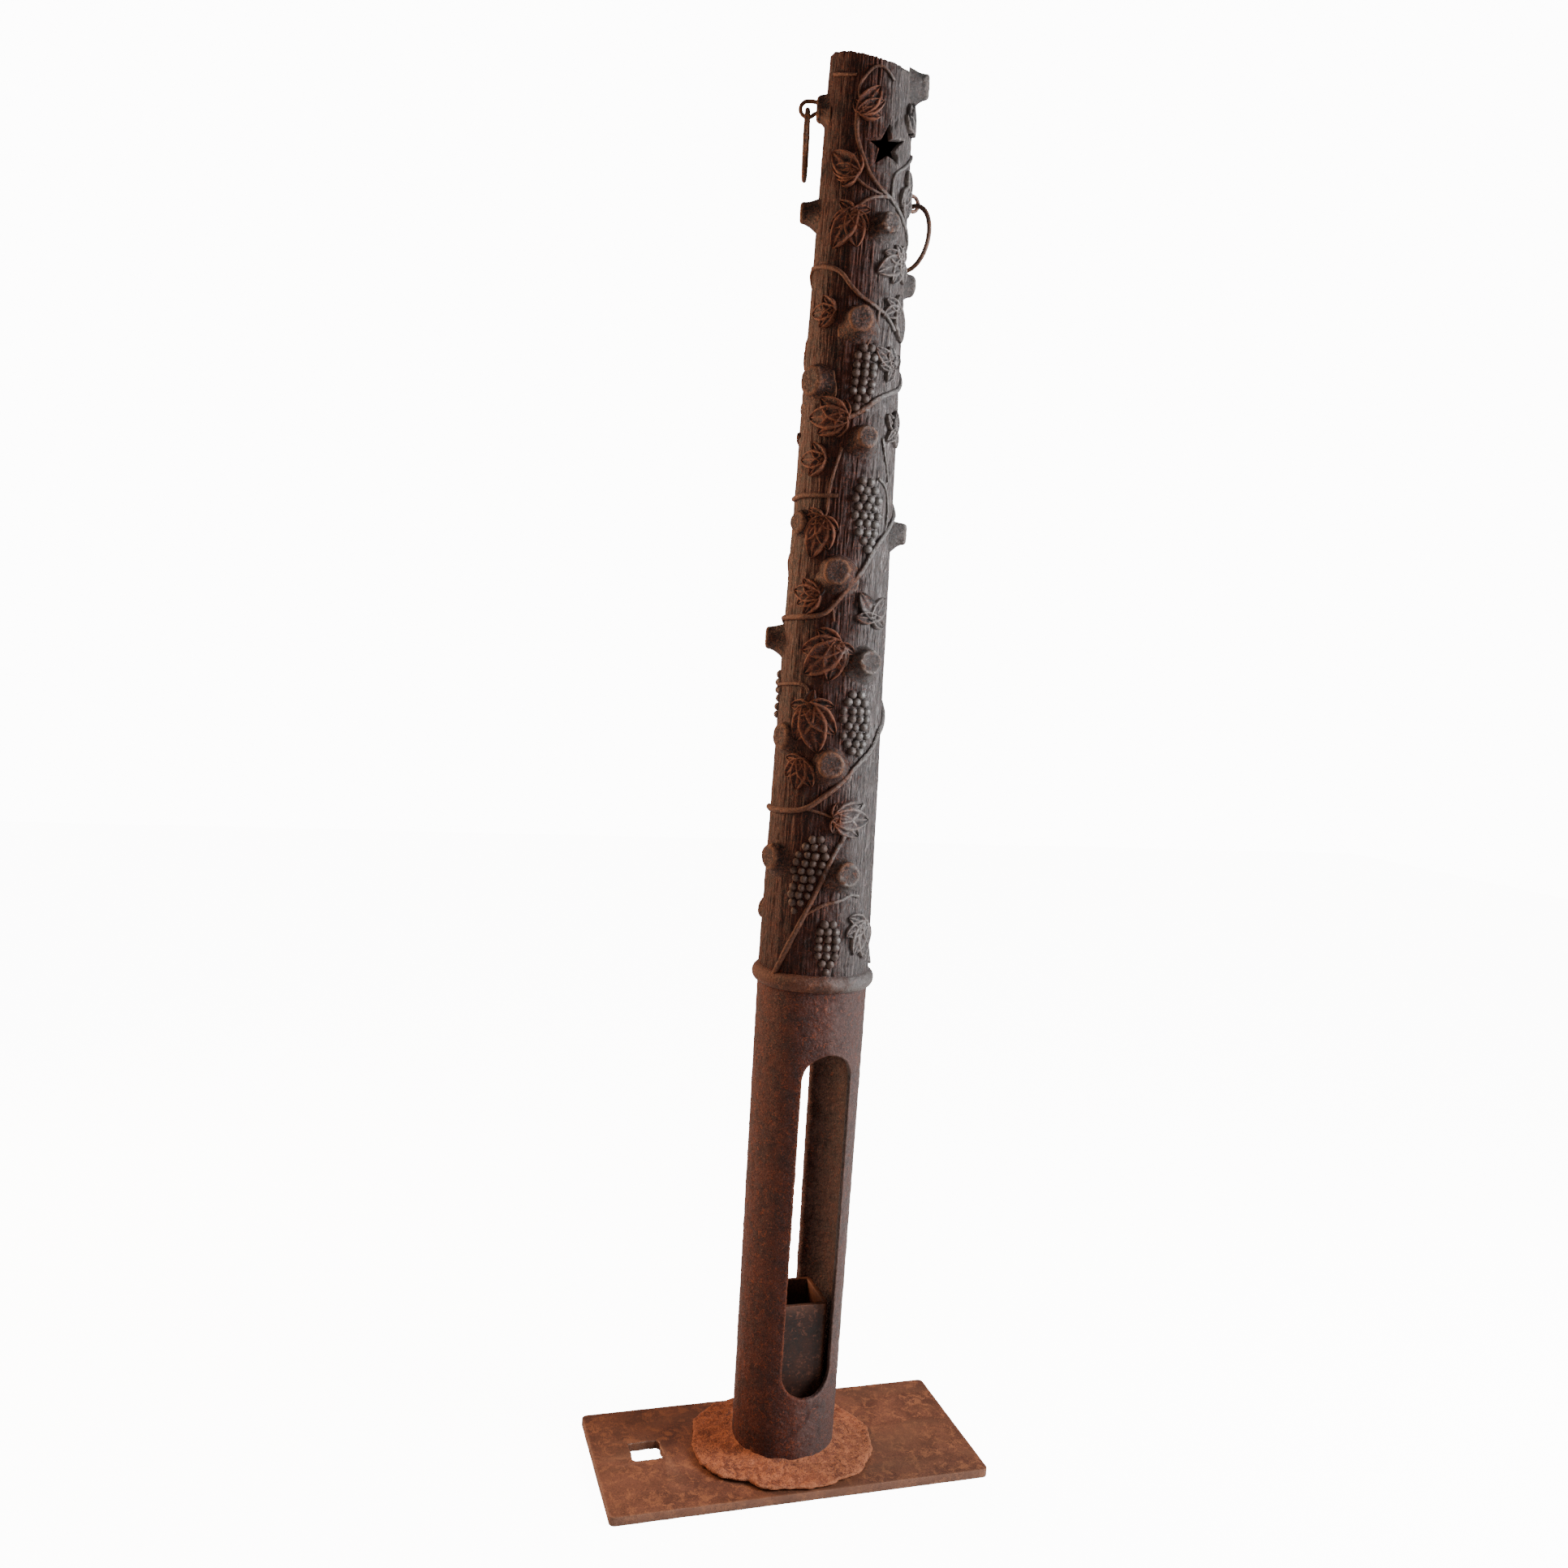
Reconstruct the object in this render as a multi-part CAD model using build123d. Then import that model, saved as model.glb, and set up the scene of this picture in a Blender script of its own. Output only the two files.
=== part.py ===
from build123d import *
import math
import os

# A cast-iron hitching post in the form of a grape-grown tree trunk, on a steel
# display stand. Millimetres and degrees. +Z is up and the origin is the middle
# of the base plate's underside. A bearing is measured round the post from -Y
# towards +X, so bearing 0 faces the front of the stand.

# Display stand
PLATE_LENGTH = 486
PLATE_WIDTH = 219
PLATE_THICKNESS = 11.4
PLATE_CORNER = 7
PLATE_HOLE_LENGTH = 40
PLATE_HOLE_WIDTH = 38
PLATE_HOLE_X = -175
PLATE_HOLE_Y = 15
PLATE_HOLE_CORNER = 3
SPIGOT_SIDE = 76
SPIGOT_WALL = 6
SPIGOT_CORNER = 8
SPIGOT_TOP = 213
WELD_LEG = 5

# Post: buried tube with its flange, then a bead, then the trunk
SEAT_GAP = 0.3
POST_FOOT = PLATE_THICKNESS + SEAT_GAP
TUBE_FOOT_RADIUS = 65
TUBE_HEAD_RADIUS = 69
TUBE_WALL = 8.5
BEAD_HEIGHT = 630
BEAD_SECTION_RADIUS = 11
BEAD_OUTER_RADIUS = 76.7
WINDOW_BEARING = 6.7
WINDOW_WIDTH = 65
WINDOW_FOOT = 103
WINDOW_HEAD = 542
TRUNK_WALL = 8
TRUNK_MID_HEIGHT = 1090
TRUNK_MID_RADIUS = 62.2
TRUNK_HIGH_HEIGHT = 1420
TRUNK_HIGH_RADIUS = 56.5
TRUNK_TOP_RADIUS = 50.2
TRUNK_TOP_HEIGHT = 1730
TRUNK_BLANK_HEIGHT = 1780
TOP_SLOPE = 12
TOP_LOW_BEARING = 71
TOP_ROUNDING = 8
TOP_THICKNESS = 10
STAR_BEARING = 7.7
STAR_HEIGHT = 1617
STAR_OUTLINE = [
    (1.5, 25), (5, 9), (24, 12), (11, -2), (18, -16),
    (1, -10), (-14, -21), (-10, -4), (-24, 5), (-7, 8),
]
TRIM_RELIEF = 3

# Cutters run past the faces they cut by this much, and cuts that leave a chip
# of less than this volume drop it
CUTTER_OVERRUN = 1
SMALLEST_SOLID = 20

# Flange outline: distance from the post's axis every 30 degrees of bearing
FLANGE_RADII = [106, 113, 118, 115, 113, 106, 104, 111, 117, 119, 118, 109]
FLANGE_RIM = 18
FLANGE_CROWN = 30
# Flange section: radius and height of the points where its slopes change
FLANGE_SEAT_RADIUS = 96
FLANGE_UNDERCUT = [(108, POST_FOOT + 1.2), (120, POST_FOOT + 1.6)]
FLANGE_SLOPES = [(120, FLANGE_RIM), (96, FLANGE_RIM + 1.5), (76, FLANGE_RIM + 4)]

# Sawn branch stubs: bearing, height, end radius, reach of the end from the axis
BRANCH_STUBS = [
    (66, 1702, 14, 69), (-109, 1552, 13, 75), (10, 1527, 12, 73), (85, 1478, 13, 70),
    (-14, 1415, 15, 74), (-66, 1347, 18, 68), (-1, 1281, 13, 78), (-71, 1182, 14, 70),
    (70, 1179, 13, 79), (-21, 1124, 16, 79), (-109, 1044, 14, 85), (15, 1021, 15, 82),
    (-72, 926, 16, 74), (-15, 897, 16, 80), (-73, 779, 16, 79), (7, 767, 15, 83),
    (170, 1640, 13, 70), (140, 1415, 14, 74), (205, 1330, 15, 75), (160, 1190, 14, 78),
    (125, 1040, 14, 80), (200, 960, 15, 79), (145, 800, 15, 83), (215, 700, 15, 84),
]
STUB_ROOT_FLARE = 1.5
STUB_ROOT_DROP = 3
STUB_ROOT_DEPTH = 14
STUB_NECK_FLARE = 1.04
STUB_NECK_SHARE = 0.45

# Tie rings: bearing and height of each eye
EYE_LEFT = (-109, 1672)
EYE_RIGHT = (106, 1584)
EYE_STUB_RADIUS = 15
EYE_STUB_REACH = 63
EYE_REACH = 73
EYE_MEAN_RADIUS = 9.2
EYE_WIRE_RADIUS = 2.4
EYE_SHANK_RADIUS = 3
EYE_SHANK_LENGTH = 9.6
RING_MEAN_RADIUS = 38
RING_WIRE_RADIUS = 2.9
RING_EYE_CLEARANCE = 0.3

# Vine: bearing and height of the points along each stem, with the stem's radius
VINE_STEMS = [
    (3.6, [(-59, 641), (-45, 678), (-30, 718), (-17, 755), (-7, 785), (4, 810), (18, 838)]),
    (2.4, [(-30, 716), (-14, 727), (5, 733), (25, 738)]),
    (3.8, [(80, 645), (103, 690), (130, 735), (165, 780), (205, 815), (253, 836)]),
    (3.8, [(-107, 836), (-62, 837), (-37, 843), (-15, 864), (10, 893), (46, 935)]),
    (3.6, [(46, 935), (90, 975), (140, 1012), (195, 1045), (253, 1069)]),
    (3.6, [(-107, 1069), (-59, 1070), (-30, 1077), (-8, 1107), (22, 1156), (48, 1185), (68, 1200)]),
    (3.4, [(68, 1200), (110, 1232), (160, 1258), (215, 1275), (260, 1290)]),
    (3.2, [(-25, 1301), (-4, 1314), (28, 1337), (56, 1350), (100, 1385), (150, 1422), (205, 1458),
           (266, 1484)]),
    (3.0, [(-94, 1484), (-67, 1480), (-45, 1472), (-29, 1457), (-14, 1443), (19, 1426), (38, 1408)]),
    (3.2, [(-97, 1212), (-71, 1214), (-42, 1213), (-24, 1213)]),
    (2.2, [(-25, 1269), (-34, 1230), (-37, 1200), (-42, 1185)]),
    (2.6, [(-34, 1650), (-33, 1628), (-24, 1603), (-13, 1582), (16, 1559), (52, 1534), (95, 1512),
           (150, 1505)]),
    (2.4, [(69, 1623), (41, 1602), (20, 1582), (18, 1560)]),
    (2.2, [(14, 1561), (-10, 1556), (-24, 1547), (-31, 1537)]),
    (2.4, [(150, 1505), (190, 1530), (225, 1572), (240, 1620)]),
]
STEM_STAND_OFF = 0.3
STEM_RUN_TURN = 20

# Leaves: bearing and height of the hub, then the angle and length of each lobe,
# the angle being measured from the rightward tangent towards straight up
VINE_LEAVES = [
    (-29, 1651, [(127, 18), (57, 39), (27, 31), (-12, 25)]),
    (-31, 1582, [(85, 27), (138, 46), (165, 33), (190, 26), (229, 22)]),
    (-31, 1537, [(131, 24), (207, 34), (240, 48), (283, 42), (322, 28), (20, 22)]),
    (38, 1492, [(210, 42), (165, 29), (113, 22), (250, 33), (300, 28), (70, 22)]),
    (-47, 1426, [(178, 36), (125, 26), (230, 26)]),
    (38, 1436, [(200, 28), (150, 24), (290, 40), (80, 23)]),
    (-25, 1303, [(85, 24), (140, 42), (178, 49), (212, 40), (258, 26)]),
    (32, 1370, [(145, 33), (100, 25), (190, 22), (258, 22), (40, 24)]),
    (-46, 1255, [(178, 38), (125, 28), (230, 28)]),
    (-42, 1185, [(140, 24), (175, 26), (229, 34), (256, 51), (289, 40), (335, 26)]),
    (-41, 1096, [(60, 20), (136, 30), (171, 37), (203, 33), (240, 30)]),
    (-15, 1038, [(137, 34), (188, 49), (223, 58), (261, 47), (293, 30), (345, 24)]),
    (-41, 963, [(88, 24), (170, 28), (205, 24), (247, 48), (284, 60), (320, 48), (14, 32)]),
    (-46, 898, [(220, 32), (262, 38), (300, 36), (165, 24)]),
    (-5, 833, [(98, 21), (30, 40), (358, 48), (323, 40), (252, 20)]),
    (37, 703, [(152, 30), (199, 34), (245, 43), (276, 47), (305, 34)]),
    (24, 1074, [(125, 38), (48, 36), (185, 26), (330, 26)]),
    (44, 1297, [(130, 25), (80, 28), (230, 22), (300, 24)]),
    (54, 1645, [(80, 40), (110, 34), (140, 24)]),
    (50, 1578, [(262, 40), (235, 30), (90, 24)]),
    (112, 720, [(20, 34), (60, 40), (100, 34), (330, 30), (160, 26)]),
    (150, 880, [(140, 34), (180, 44), (220, 48), (260, 42), (80, 26)]),
    (205, 775, [(0, 36), (320, 44), (280, 42), (240, 34), (60, 26)]),
    (165, 1100, [(60, 34), (100, 42), (140, 36), (20, 30), (200, 26)]),
    (218, 1150, [(200, 36), (240, 46), (280, 44), (320, 34), (140, 26)]),
    (118, 1300, [(30, 34), (70, 42), (110, 38), (350, 28), (150, 26)]),
    (175, 1370, [(200, 34), (240, 44), (280, 40), (320, 32), (130, 24)]),
    (228, 1395, [(150, 30), (190, 38), (230, 40), (270, 32), (100, 24)]),
    (132, 1560, [(20, 30), (60, 38), (100, 36), (330, 26), (150, 24)]),
    (200, 1600, [(190, 30), (230, 38), (270, 38), (310, 30), (120, 22)]),
    (215, 1020, [(180, 32), (220, 40), (260, 40), (300, 32), (110, 24)]),
]
LOBE_WIDTH_SHARE = 0.36
LEAF_HUB_RADIUS = 4

# Grape clusters: bearing and height of the top grape row, lean, grapes in each row
GRAPE_CLUSTERS = [
    (-3, 1385, -4, [2, 3, 3, 3, 3, 3, 2, 2]),
    (7, 1232, 5, [2, 3, 4, 3, 4, 3, 3, 2, 1]),
    (10, 982, 2, [2, 3, 4, 4, 3, 4, 3, 2]),
    (-24, 806, -19, [2, 3, 4, 4, 4, 3, 3, 3, 2, 1]),
    (-6, 705, 0, [2, 3, 3, 3, 3, 2, 1]),
    (110, 1175, 3, [2, 3, 4, 3, 4, 3, 2, 1]),
    (175, 1020, -4, [2, 3, 4, 4, 3, 3, 2]),
    (185, 1500, 3, [2, 3, 3, 4, 3, 2, 1]),
    (250, 1000, 0, [2, 3, 4, 3, 3, 2]),
]
GRAPE_RADIUS = 4.9
GRAPE_PITCH = 10.6
GRAPE_ROW_DROP = 9.8
GRAPE_SINK = 0.5


def save(shape, name):
    """Write one named piece of the object."""
    shape.label = name
    export_step(shape, "parts/" + name + ".step")


def trunk_radius(height):
    """Outer radius of the bare trunk at a height."""
    steps = [
        (BEAD_HEIGHT, TUBE_HEAD_RADIUS),
        (TRUNK_MID_HEIGHT, TRUNK_MID_RADIUS),
        (TRUNK_HIGH_HEIGHT, TRUNK_HIGH_RADIUS),
        (TRUNK_TOP_HEIGHT, TRUNK_TOP_RADIUS),
    ]
    for (low, low_radius), (high, high_radius) in zip(steps, steps[1:]):
        if height <= high or high == TRUNK_TOP_HEIGHT:
            share = (height - low) / (high - low)
            return low_radius + share * (high_radius - low_radius)


def outward(bearing):
    """Unit vector that points away from the post's axis at a bearing."""
    angle = math.radians(bearing)
    return Vector(math.sin(angle), -math.cos(angle), 0)


def on_trunk(bearing, height, stand_off=0):
    """Point on the trunk's surface, or a little off it."""
    reach = trunk_radius(height) + stand_off
    return outward(bearing) * reach + Vector(0, 0, height)


def facing(bearing, height, reach=0):
    """Plane that faces outward, with its X to the right and its Y straight up."""
    angle = math.radians(bearing)
    right = Vector(math.cos(angle), math.sin(angle), 0)
    return Plane(outward(bearing) * reach + Vector(0, 0, height), x_dir=right, z_dir=outward(bearing))


def turned(profile):
    """Solid turned round the post's axis from points of radius and height."""
    points = [(radius, 0, height) for radius, height in profile]
    face = Face(Wire.make_polygon([Vector(*point) for point in points]))
    return revolve(face, Axis.Z, 360)


def post_core(grow):
    """Trunk and tube as one solid body of revolution, grown by an amount."""
    return turned([
        (0, POST_FOOT - CUTTER_OVERRUN),
        (TUBE_FOOT_RADIUS + grow, POST_FOOT - CUTTER_OVERRUN),
        (TUBE_HEAD_RADIUS + grow, BEAD_HEIGHT),
        (TRUNK_MID_RADIUS + grow, TRUNK_MID_HEIGHT),
        (TRUNK_HIGH_RADIUS + grow, TRUNK_HIGH_HEIGHT),
        (TRUNK_TOP_RADIUS + grow, TRUNK_TOP_HEIGHT),
        (trunk_radius(TRUNK_BLANK_HEIGHT) + grow, TRUNK_BLANK_HEIGHT),
        (0, TRUNK_BLANK_HEIGHT),
    ])


def sawn_top(blank, drop):
    """Cut a trunk blank off along the slanted top, a distance below it."""
    low = outward(TOP_LOW_BEARING)
    slope = math.radians(TOP_SLOPE)
    normal = Vector(low.X * math.sin(slope), low.Y * math.sin(slope), math.cos(slope))
    cut = Plane(Vector(0, 0, TRUNK_TOP_HEIGHT - drop), z_dir=normal)
    return split(blank, bisect_by=cut, keep=Keep.BOTTOM)


def base_plate():
    """Flat bar with a square hole torched through it at one end."""
    blank = Pos(0, 0, PLATE_THICKNESS / 2) * Box(PLATE_LENGTH, PLATE_WIDTH, PLATE_THICKNESS)
    blank = fillet(blank.edges().filter_by(Axis.Z), PLATE_CORNER)
    hole = RectangleRounded(PLATE_HOLE_LENGTH, PLATE_HOLE_WIDTH, PLATE_HOLE_CORNER)
    return blank - Pos(PLATE_HOLE_X, PLATE_HOLE_Y, 0) * extrude(hole, PLATE_THICKNESS)


def spigot_tube():
    """Square tube that stands on the plate inside the post."""
    outside = RectangleRounded(SPIGOT_SIDE, SPIGOT_SIDE, SPIGOT_CORNER)
    bore_side = SPIGOT_SIDE - 2 * SPIGOT_WALL
    inside = RectangleRounded(bore_side, bore_side, SPIGOT_CORNER - SPIGOT_WALL)
    height = SPIGOT_TOP - PLATE_THICKNESS
    return Pos(0, 0, PLATE_THICKNESS) * extrude(outside - inside, height)


def spigot_weld():
    """Fillet weld round the foot of the spigot."""
    foot = Pos(0, 0, PLATE_THICKNESS)
    spread = SPIGOT_SIDE + 2 * WELD_LEG
    low = foot * RectangleRounded(spread, spread, SPIGOT_CORNER + WELD_LEG)
    high = Pos(0, 0, WELD_LEG) * foot * RectangleRounded(SPIGOT_SIDE, SPIGOT_SIDE, SPIGOT_CORNER)
    core = foot * extrude(RectangleRounded(SPIGOT_SIDE, SPIGOT_SIDE, SPIGOT_CORNER), WELD_LEG)
    return loft([low.face(), high.face()], ruled=True) - core


def ground_tube():
    """Round tube below the bead, with two long opposite windows."""
    shell = turned([
        (TUBE_FOOT_RADIUS - TUBE_WALL, POST_FOOT),
        (TUBE_FOOT_RADIUS, POST_FOOT),
        (TUBE_HEAD_RADIUS, BEAD_HEIGHT),
        (TUBE_HEAD_RADIUS - TUBE_WALL, BEAD_HEIGHT),
    ])
    middle = (WINDOW_FOOT + WINDOW_HEAD) / 2
    slot = SlotOverall(WINDOW_HEAD - WINDOW_FOOT, WINDOW_WIDTH, rotation=90)
    through = extrude(facing(WINDOW_BEARING, middle) * slot, 2 * TUBE_HEAD_RADIUS, both=True)
    return shell - through


def foot_flange(core):
    """Ragged disc at the foot of the tube, thicker towards the middle."""
    bore = TUBE_FOOT_RADIUS - TUBE_WALL
    disc = turned([
        (bore, POST_FOOT),
        (FLANGE_SEAT_RADIUS, POST_FOOT),
        *FLANGE_UNDERCUT,
        *FLANGE_SLOPES,
        (bore, FLANGE_CROWN),
    ])
    step = 360 / len(FLANGE_RADII)
    points = [outward(step * index) * radius for index, radius in enumerate(FLANGE_RADII)]
    outline = Face(Wire([Spline(points, periodic=True)]))
    return (disc & extrude(outline, 2 * FLANGE_CROWN)) - core


def collar_bead(core):
    """Half-round bead where the trunk stops and the tube begins."""
    section = Pos(BEAD_OUTER_RADIUS - BEAD_SECTION_RADIUS, 0, BEAD_HEIGHT)
    face = section * (Plane.XZ * Circle(BEAD_SECTION_RADIUS)).face()
    return revolve(face, Axis.Z, 360) - core


def trunk_shell():
    """Hollow trunk with a closed, slanted top and a star cut through its wall."""
    body = sawn_top(turned([
        (0, BEAD_HEIGHT),
        (TUBE_HEAD_RADIUS, BEAD_HEIGHT),
        (TRUNK_MID_RADIUS, TRUNK_MID_HEIGHT),
        (TRUNK_HIGH_RADIUS, TRUNK_HIGH_HEIGHT),
        (trunk_radius(TRUNK_BLANK_HEIGHT), TRUNK_BLANK_HEIGHT),
        (0, TRUNK_BLANK_HEIGHT),
    ]), 0)
    body = fillet(body.edges().sort_by(Axis.Z)[-1], TOP_ROUNDING)
    hollow = sawn_top(turned([
        (0, BEAD_HEIGHT - CUTTER_OVERRUN),
        (TUBE_HEAD_RADIUS - TRUNK_WALL, BEAD_HEIGHT - CUTTER_OVERRUN),
        (TRUNK_MID_RADIUS - TRUNK_WALL, TRUNK_MID_HEIGHT),
        (TRUNK_HIGH_RADIUS - TRUNK_WALL, TRUNK_HIGH_HEIGHT),
        (trunk_radius(TRUNK_BLANK_HEIGHT) - TRUNK_WALL, TRUNK_BLANK_HEIGHT),
        (0, TRUNK_BLANK_HEIGHT),
    ]), TOP_THICKNESS)
    star = Face(Wire.make_polygon([Vector(*corner) for corner in STAR_OUTLINE]))
    star_face = facing(STAR_BEARING, STAR_HEIGHT) * star
    cutter = extrude(star_face, 2 * TRUNK_TOP_RADIUS, dir=outward(STAR_BEARING))
    return body - hollow - cutter


def branch_stub(bearing, height, radius, reach):
    """Sawn-off branch that flares into the trunk, mostly downward."""
    surface = trunk_radius(height)
    root_reach = surface - STUB_ROOT_DEPTH
    neck_reach = surface + STUB_NECK_SHARE * (reach - surface)
    root = facing(bearing, height - STUB_ROOT_DROP, root_reach) * Circle(radius * STUB_ROOT_FLARE)
    neck = facing(bearing, height, neck_reach) * Circle(radius * STUB_NECK_FLARE)
    end = facing(bearing, height, reach) * Circle(radius)
    return loft([root.face(), neck.face(), end.face()], ruled=True)


def eye(bearing, height):
    """Round eye of iron rod with a shank that is cast into its stub."""
    edge_on = Plane(
        outward(bearing) * EYE_REACH + Vector(0, 0, height),
        x_dir=outward(bearing),
        z_dir=facing(bearing, height).x_dir,
    )
    loop = edge_on * Torus(EYE_MEAN_RADIUS, EYE_WIRE_RADIUS)
    shank_start = EYE_REACH - EYE_MEAN_RADIUS - EYE_SHANK_LENGTH
    shank = extrude(facing(bearing, height, shank_start) * Circle(EYE_SHANK_RADIUS), EYE_SHANK_LENGTH)
    return loop + shank


def tie_ring(bearing, height):
    """Plain round ring that hangs from its eye."""
    hole_radius = EYE_MEAN_RADIUS - EYE_WIRE_RADIUS
    wire_height = height - hole_radius + RING_WIRE_RADIUS + RING_EYE_CLEARANCE
    centre = facing(bearing, wire_height - RING_MEAN_RADIUS, EYE_REACH)
    return centre * Torus(RING_MEAN_RADIUS, RING_WIRE_RADIUS)


def boxes_meet(one, other):
    """Whether two bounding boxes touch."""
    apart_x = one.min.X > other.max.X or other.min.X > one.max.X
    apart_y = one.min.Y > other.max.Y or other.min.Y > one.max.Y
    apart_z = one.min.Z > other.max.Z or other.min.Z > one.max.Z
    return not (apart_x or apart_y or apart_z)


def settle(blank, core, taken):
    """Cut a blank back to the trunk and to what already stands on the trunk."""
    settled = []
    for solid in (blank - core).solids():
        pieces = [solid]
        box = solid.bounding_box()
        near = [other for other_box, other in taken if boxes_meet(box, other_box)]
        for other in near:
            cuts = [piece - other for piece in pieces]
            pieces = [left for cut in cuts for left in cut.solids() if left.volume > SMALLEST_SOLID]
        settled.extend(pieces)
    taken.extend((solid.bounding_box(), solid) for solid in settled)
    return settled


def vine_stem(radius, route):
    """Round stem along the trunk, half sunk into its surface."""
    points = [on_trunk(bearing, height, STEM_STAND_OFF * radius) for bearing, height in route]
    path = Wire.make_polygon(points, close=False)
    section = Plane(points[0], z_dir=points[1] - points[0]) * Circle(radius)
    return sweep(section.face(), path=path, transition=Transition.RIGHT)


def fine_route(route):
    """Add points so that no run of a stem turns far round the trunk."""
    points = [route[0]]
    for (bearing, height), (next_bearing, next_height) in zip(route, route[1:]):
        count = max(1, math.ceil(abs(next_bearing - bearing) / STEM_RUN_TURN))
        for index in range(1, count + 1):
            share = index / count
            new_bearing = bearing + share * (next_bearing - bearing)
            new_height = height + share * (next_height - height)
            points.append((new_bearing, new_height))
    return points


def vine_leaf(skin, bearing, height, lobes):
    """Leaf of long lobes in low relief that wraps the trunk."""
    radius = trunk_radius(height)
    reach_right = [length * math.cos(math.radians(angle)) for angle, length in lobes]
    shift = (max(reach_right + [0]) + min(reach_right + [0])) / 2
    middle_bearing = bearing + math.degrees(shift / radius)
    leaf = None
    for angle, length in lobes:
        lobe = Ellipse(length / 2, length * LOBE_WIDTH_SHARE / 2)
        lobe = Pos(-shift, 0) * Rot(0, 0, angle) * Pos(length / 2, 0) * lobe
        leaf = lobe if leaf is None else leaf + lobe
    leaf = leaf + Pos(-shift, 0) * Circle(LEAF_HUB_RADIUS)
    prism = extrude(facing(middle_bearing, height) * leaf, 2 * radius)
    return prism & skin


def grape_cluster(bearing, height, lean, rows):
    """Rows of round grapes pressed into the trunk."""
    grapes = []
    for row, count in enumerate(rows):
        row_height = height - row * GRAPE_ROW_DROP
        pitch_angle = math.degrees(GRAPE_PITCH / trunk_radius(row_height))
        lean_angle = lean * row / (len(rows) - 1)
        for place in range(count):
            turn = bearing + lean_angle + (place - (count - 1) / 2) * pitch_angle
            seat = facing(turn, row_height, trunk_radius(row_height) + GRAPE_SINK)
            grapes.append(seat * Sphere(GRAPE_RADIUS))
    return Compound(children=grapes)


os.makedirs("parts", exist_ok=True)
CORE = post_core(0)

save(base_plate(), "base_plate")
save(spigot_tube(), "spigot_tube")
save(spigot_weld(), "spigot_weld")
save(ground_tube(), "ground_tube")
save(foot_flange(CORE), "foot_flange")
bead = collar_bead(CORE)
save(bead, "collar_bead")
save(trunk_shell(), "trunk_shell")

taken = [(bead.bounding_box(), bead)]
eyes = {"left": EYE_LEFT, "right": EYE_RIGHT}
for side, (eye_bearing, eye_height) in eyes.items():
    iron_eye = eye(eye_bearing, eye_height)
    stub = branch_stub(eye_bearing, eye_height, EYE_STUB_RADIUS, EYE_STUB_REACH)
    save(Compound(settle(stub - iron_eye, CORE, taken)), "eye_stub_" + side)
    save(iron_eye, "eye_" + side)
    save(tie_ring(eye_bearing, eye_height), "ring_" + side)

for number, measures in enumerate(BRANCH_STUBS, 1):
    save(Compound(settle(branch_stub(*measures), CORE, taken)), f"branch_stub_{number:02d}")

stems = []
for stem_radius, route in VINE_STEMS:
    stems.extend(settle(vine_stem(stem_radius, fine_route(route)), CORE, taken))
save(Compound(stems), "vine_stems")

for number, cluster in enumerate(GRAPE_CLUSTERS, 1):
    save(Compound(settle(grape_cluster(*cluster), CORE, taken)), f"grape_cluster_{number}")

SKIN = post_core(TRIM_RELIEF)
leaves = []
for leaf in VINE_LEAVES:
    leaves.extend(settle(vine_leaf(SKIN, *leaf), CORE, taken))
save(Compound(leaves), "vine_leaves")
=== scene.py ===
import math

import bmesh
import bpy
import numpy as np
from mathutils import Matrix, Vector


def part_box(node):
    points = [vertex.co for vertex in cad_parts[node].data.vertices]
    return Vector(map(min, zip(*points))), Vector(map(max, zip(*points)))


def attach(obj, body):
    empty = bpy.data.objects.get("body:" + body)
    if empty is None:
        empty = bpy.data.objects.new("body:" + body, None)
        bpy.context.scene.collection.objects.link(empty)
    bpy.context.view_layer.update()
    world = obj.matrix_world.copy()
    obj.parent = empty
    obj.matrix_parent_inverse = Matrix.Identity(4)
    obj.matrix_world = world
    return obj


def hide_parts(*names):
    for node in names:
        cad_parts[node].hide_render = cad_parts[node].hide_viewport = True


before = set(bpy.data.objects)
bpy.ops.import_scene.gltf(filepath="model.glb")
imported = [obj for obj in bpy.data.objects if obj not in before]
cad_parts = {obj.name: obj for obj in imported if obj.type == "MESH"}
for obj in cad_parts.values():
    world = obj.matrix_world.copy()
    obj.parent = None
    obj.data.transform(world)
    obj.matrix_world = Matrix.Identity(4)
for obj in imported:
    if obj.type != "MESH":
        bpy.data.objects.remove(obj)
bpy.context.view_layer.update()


# ------------------------------------------------------------------ studio
# The post stands on a plain pale floor under soft lamps: a broad cool one on
# its right, a warm one behind its left shoulder and a weak one in front. The
# camera is a metre above the floor, a little left of the plate's front.

CAMERA_BEARING = -19.34
CAMERA_REACH = 1.6495
CAMERA_HEIGHT = 1.0035
CAMERA_HEADING = 17.58
CAMERA_PITCH = -4.81
CAMERA_ROLL = 3.64
CAMERA_LENS = 30.59
SENSOR_WIDTH = 36
FLOOR_HALF = 6
SURROUND_LIGHT = 0.2
SURROUND_SEEN = 13.0
FLOOR_SEEN = 12.0


def outward(bearing):
    """Direction away from the post's axis, in degrees from -Y towards +X."""
    turn = math.radians(bearing)
    return Vector((math.sin(turn), -math.cos(turn), 0))


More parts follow.
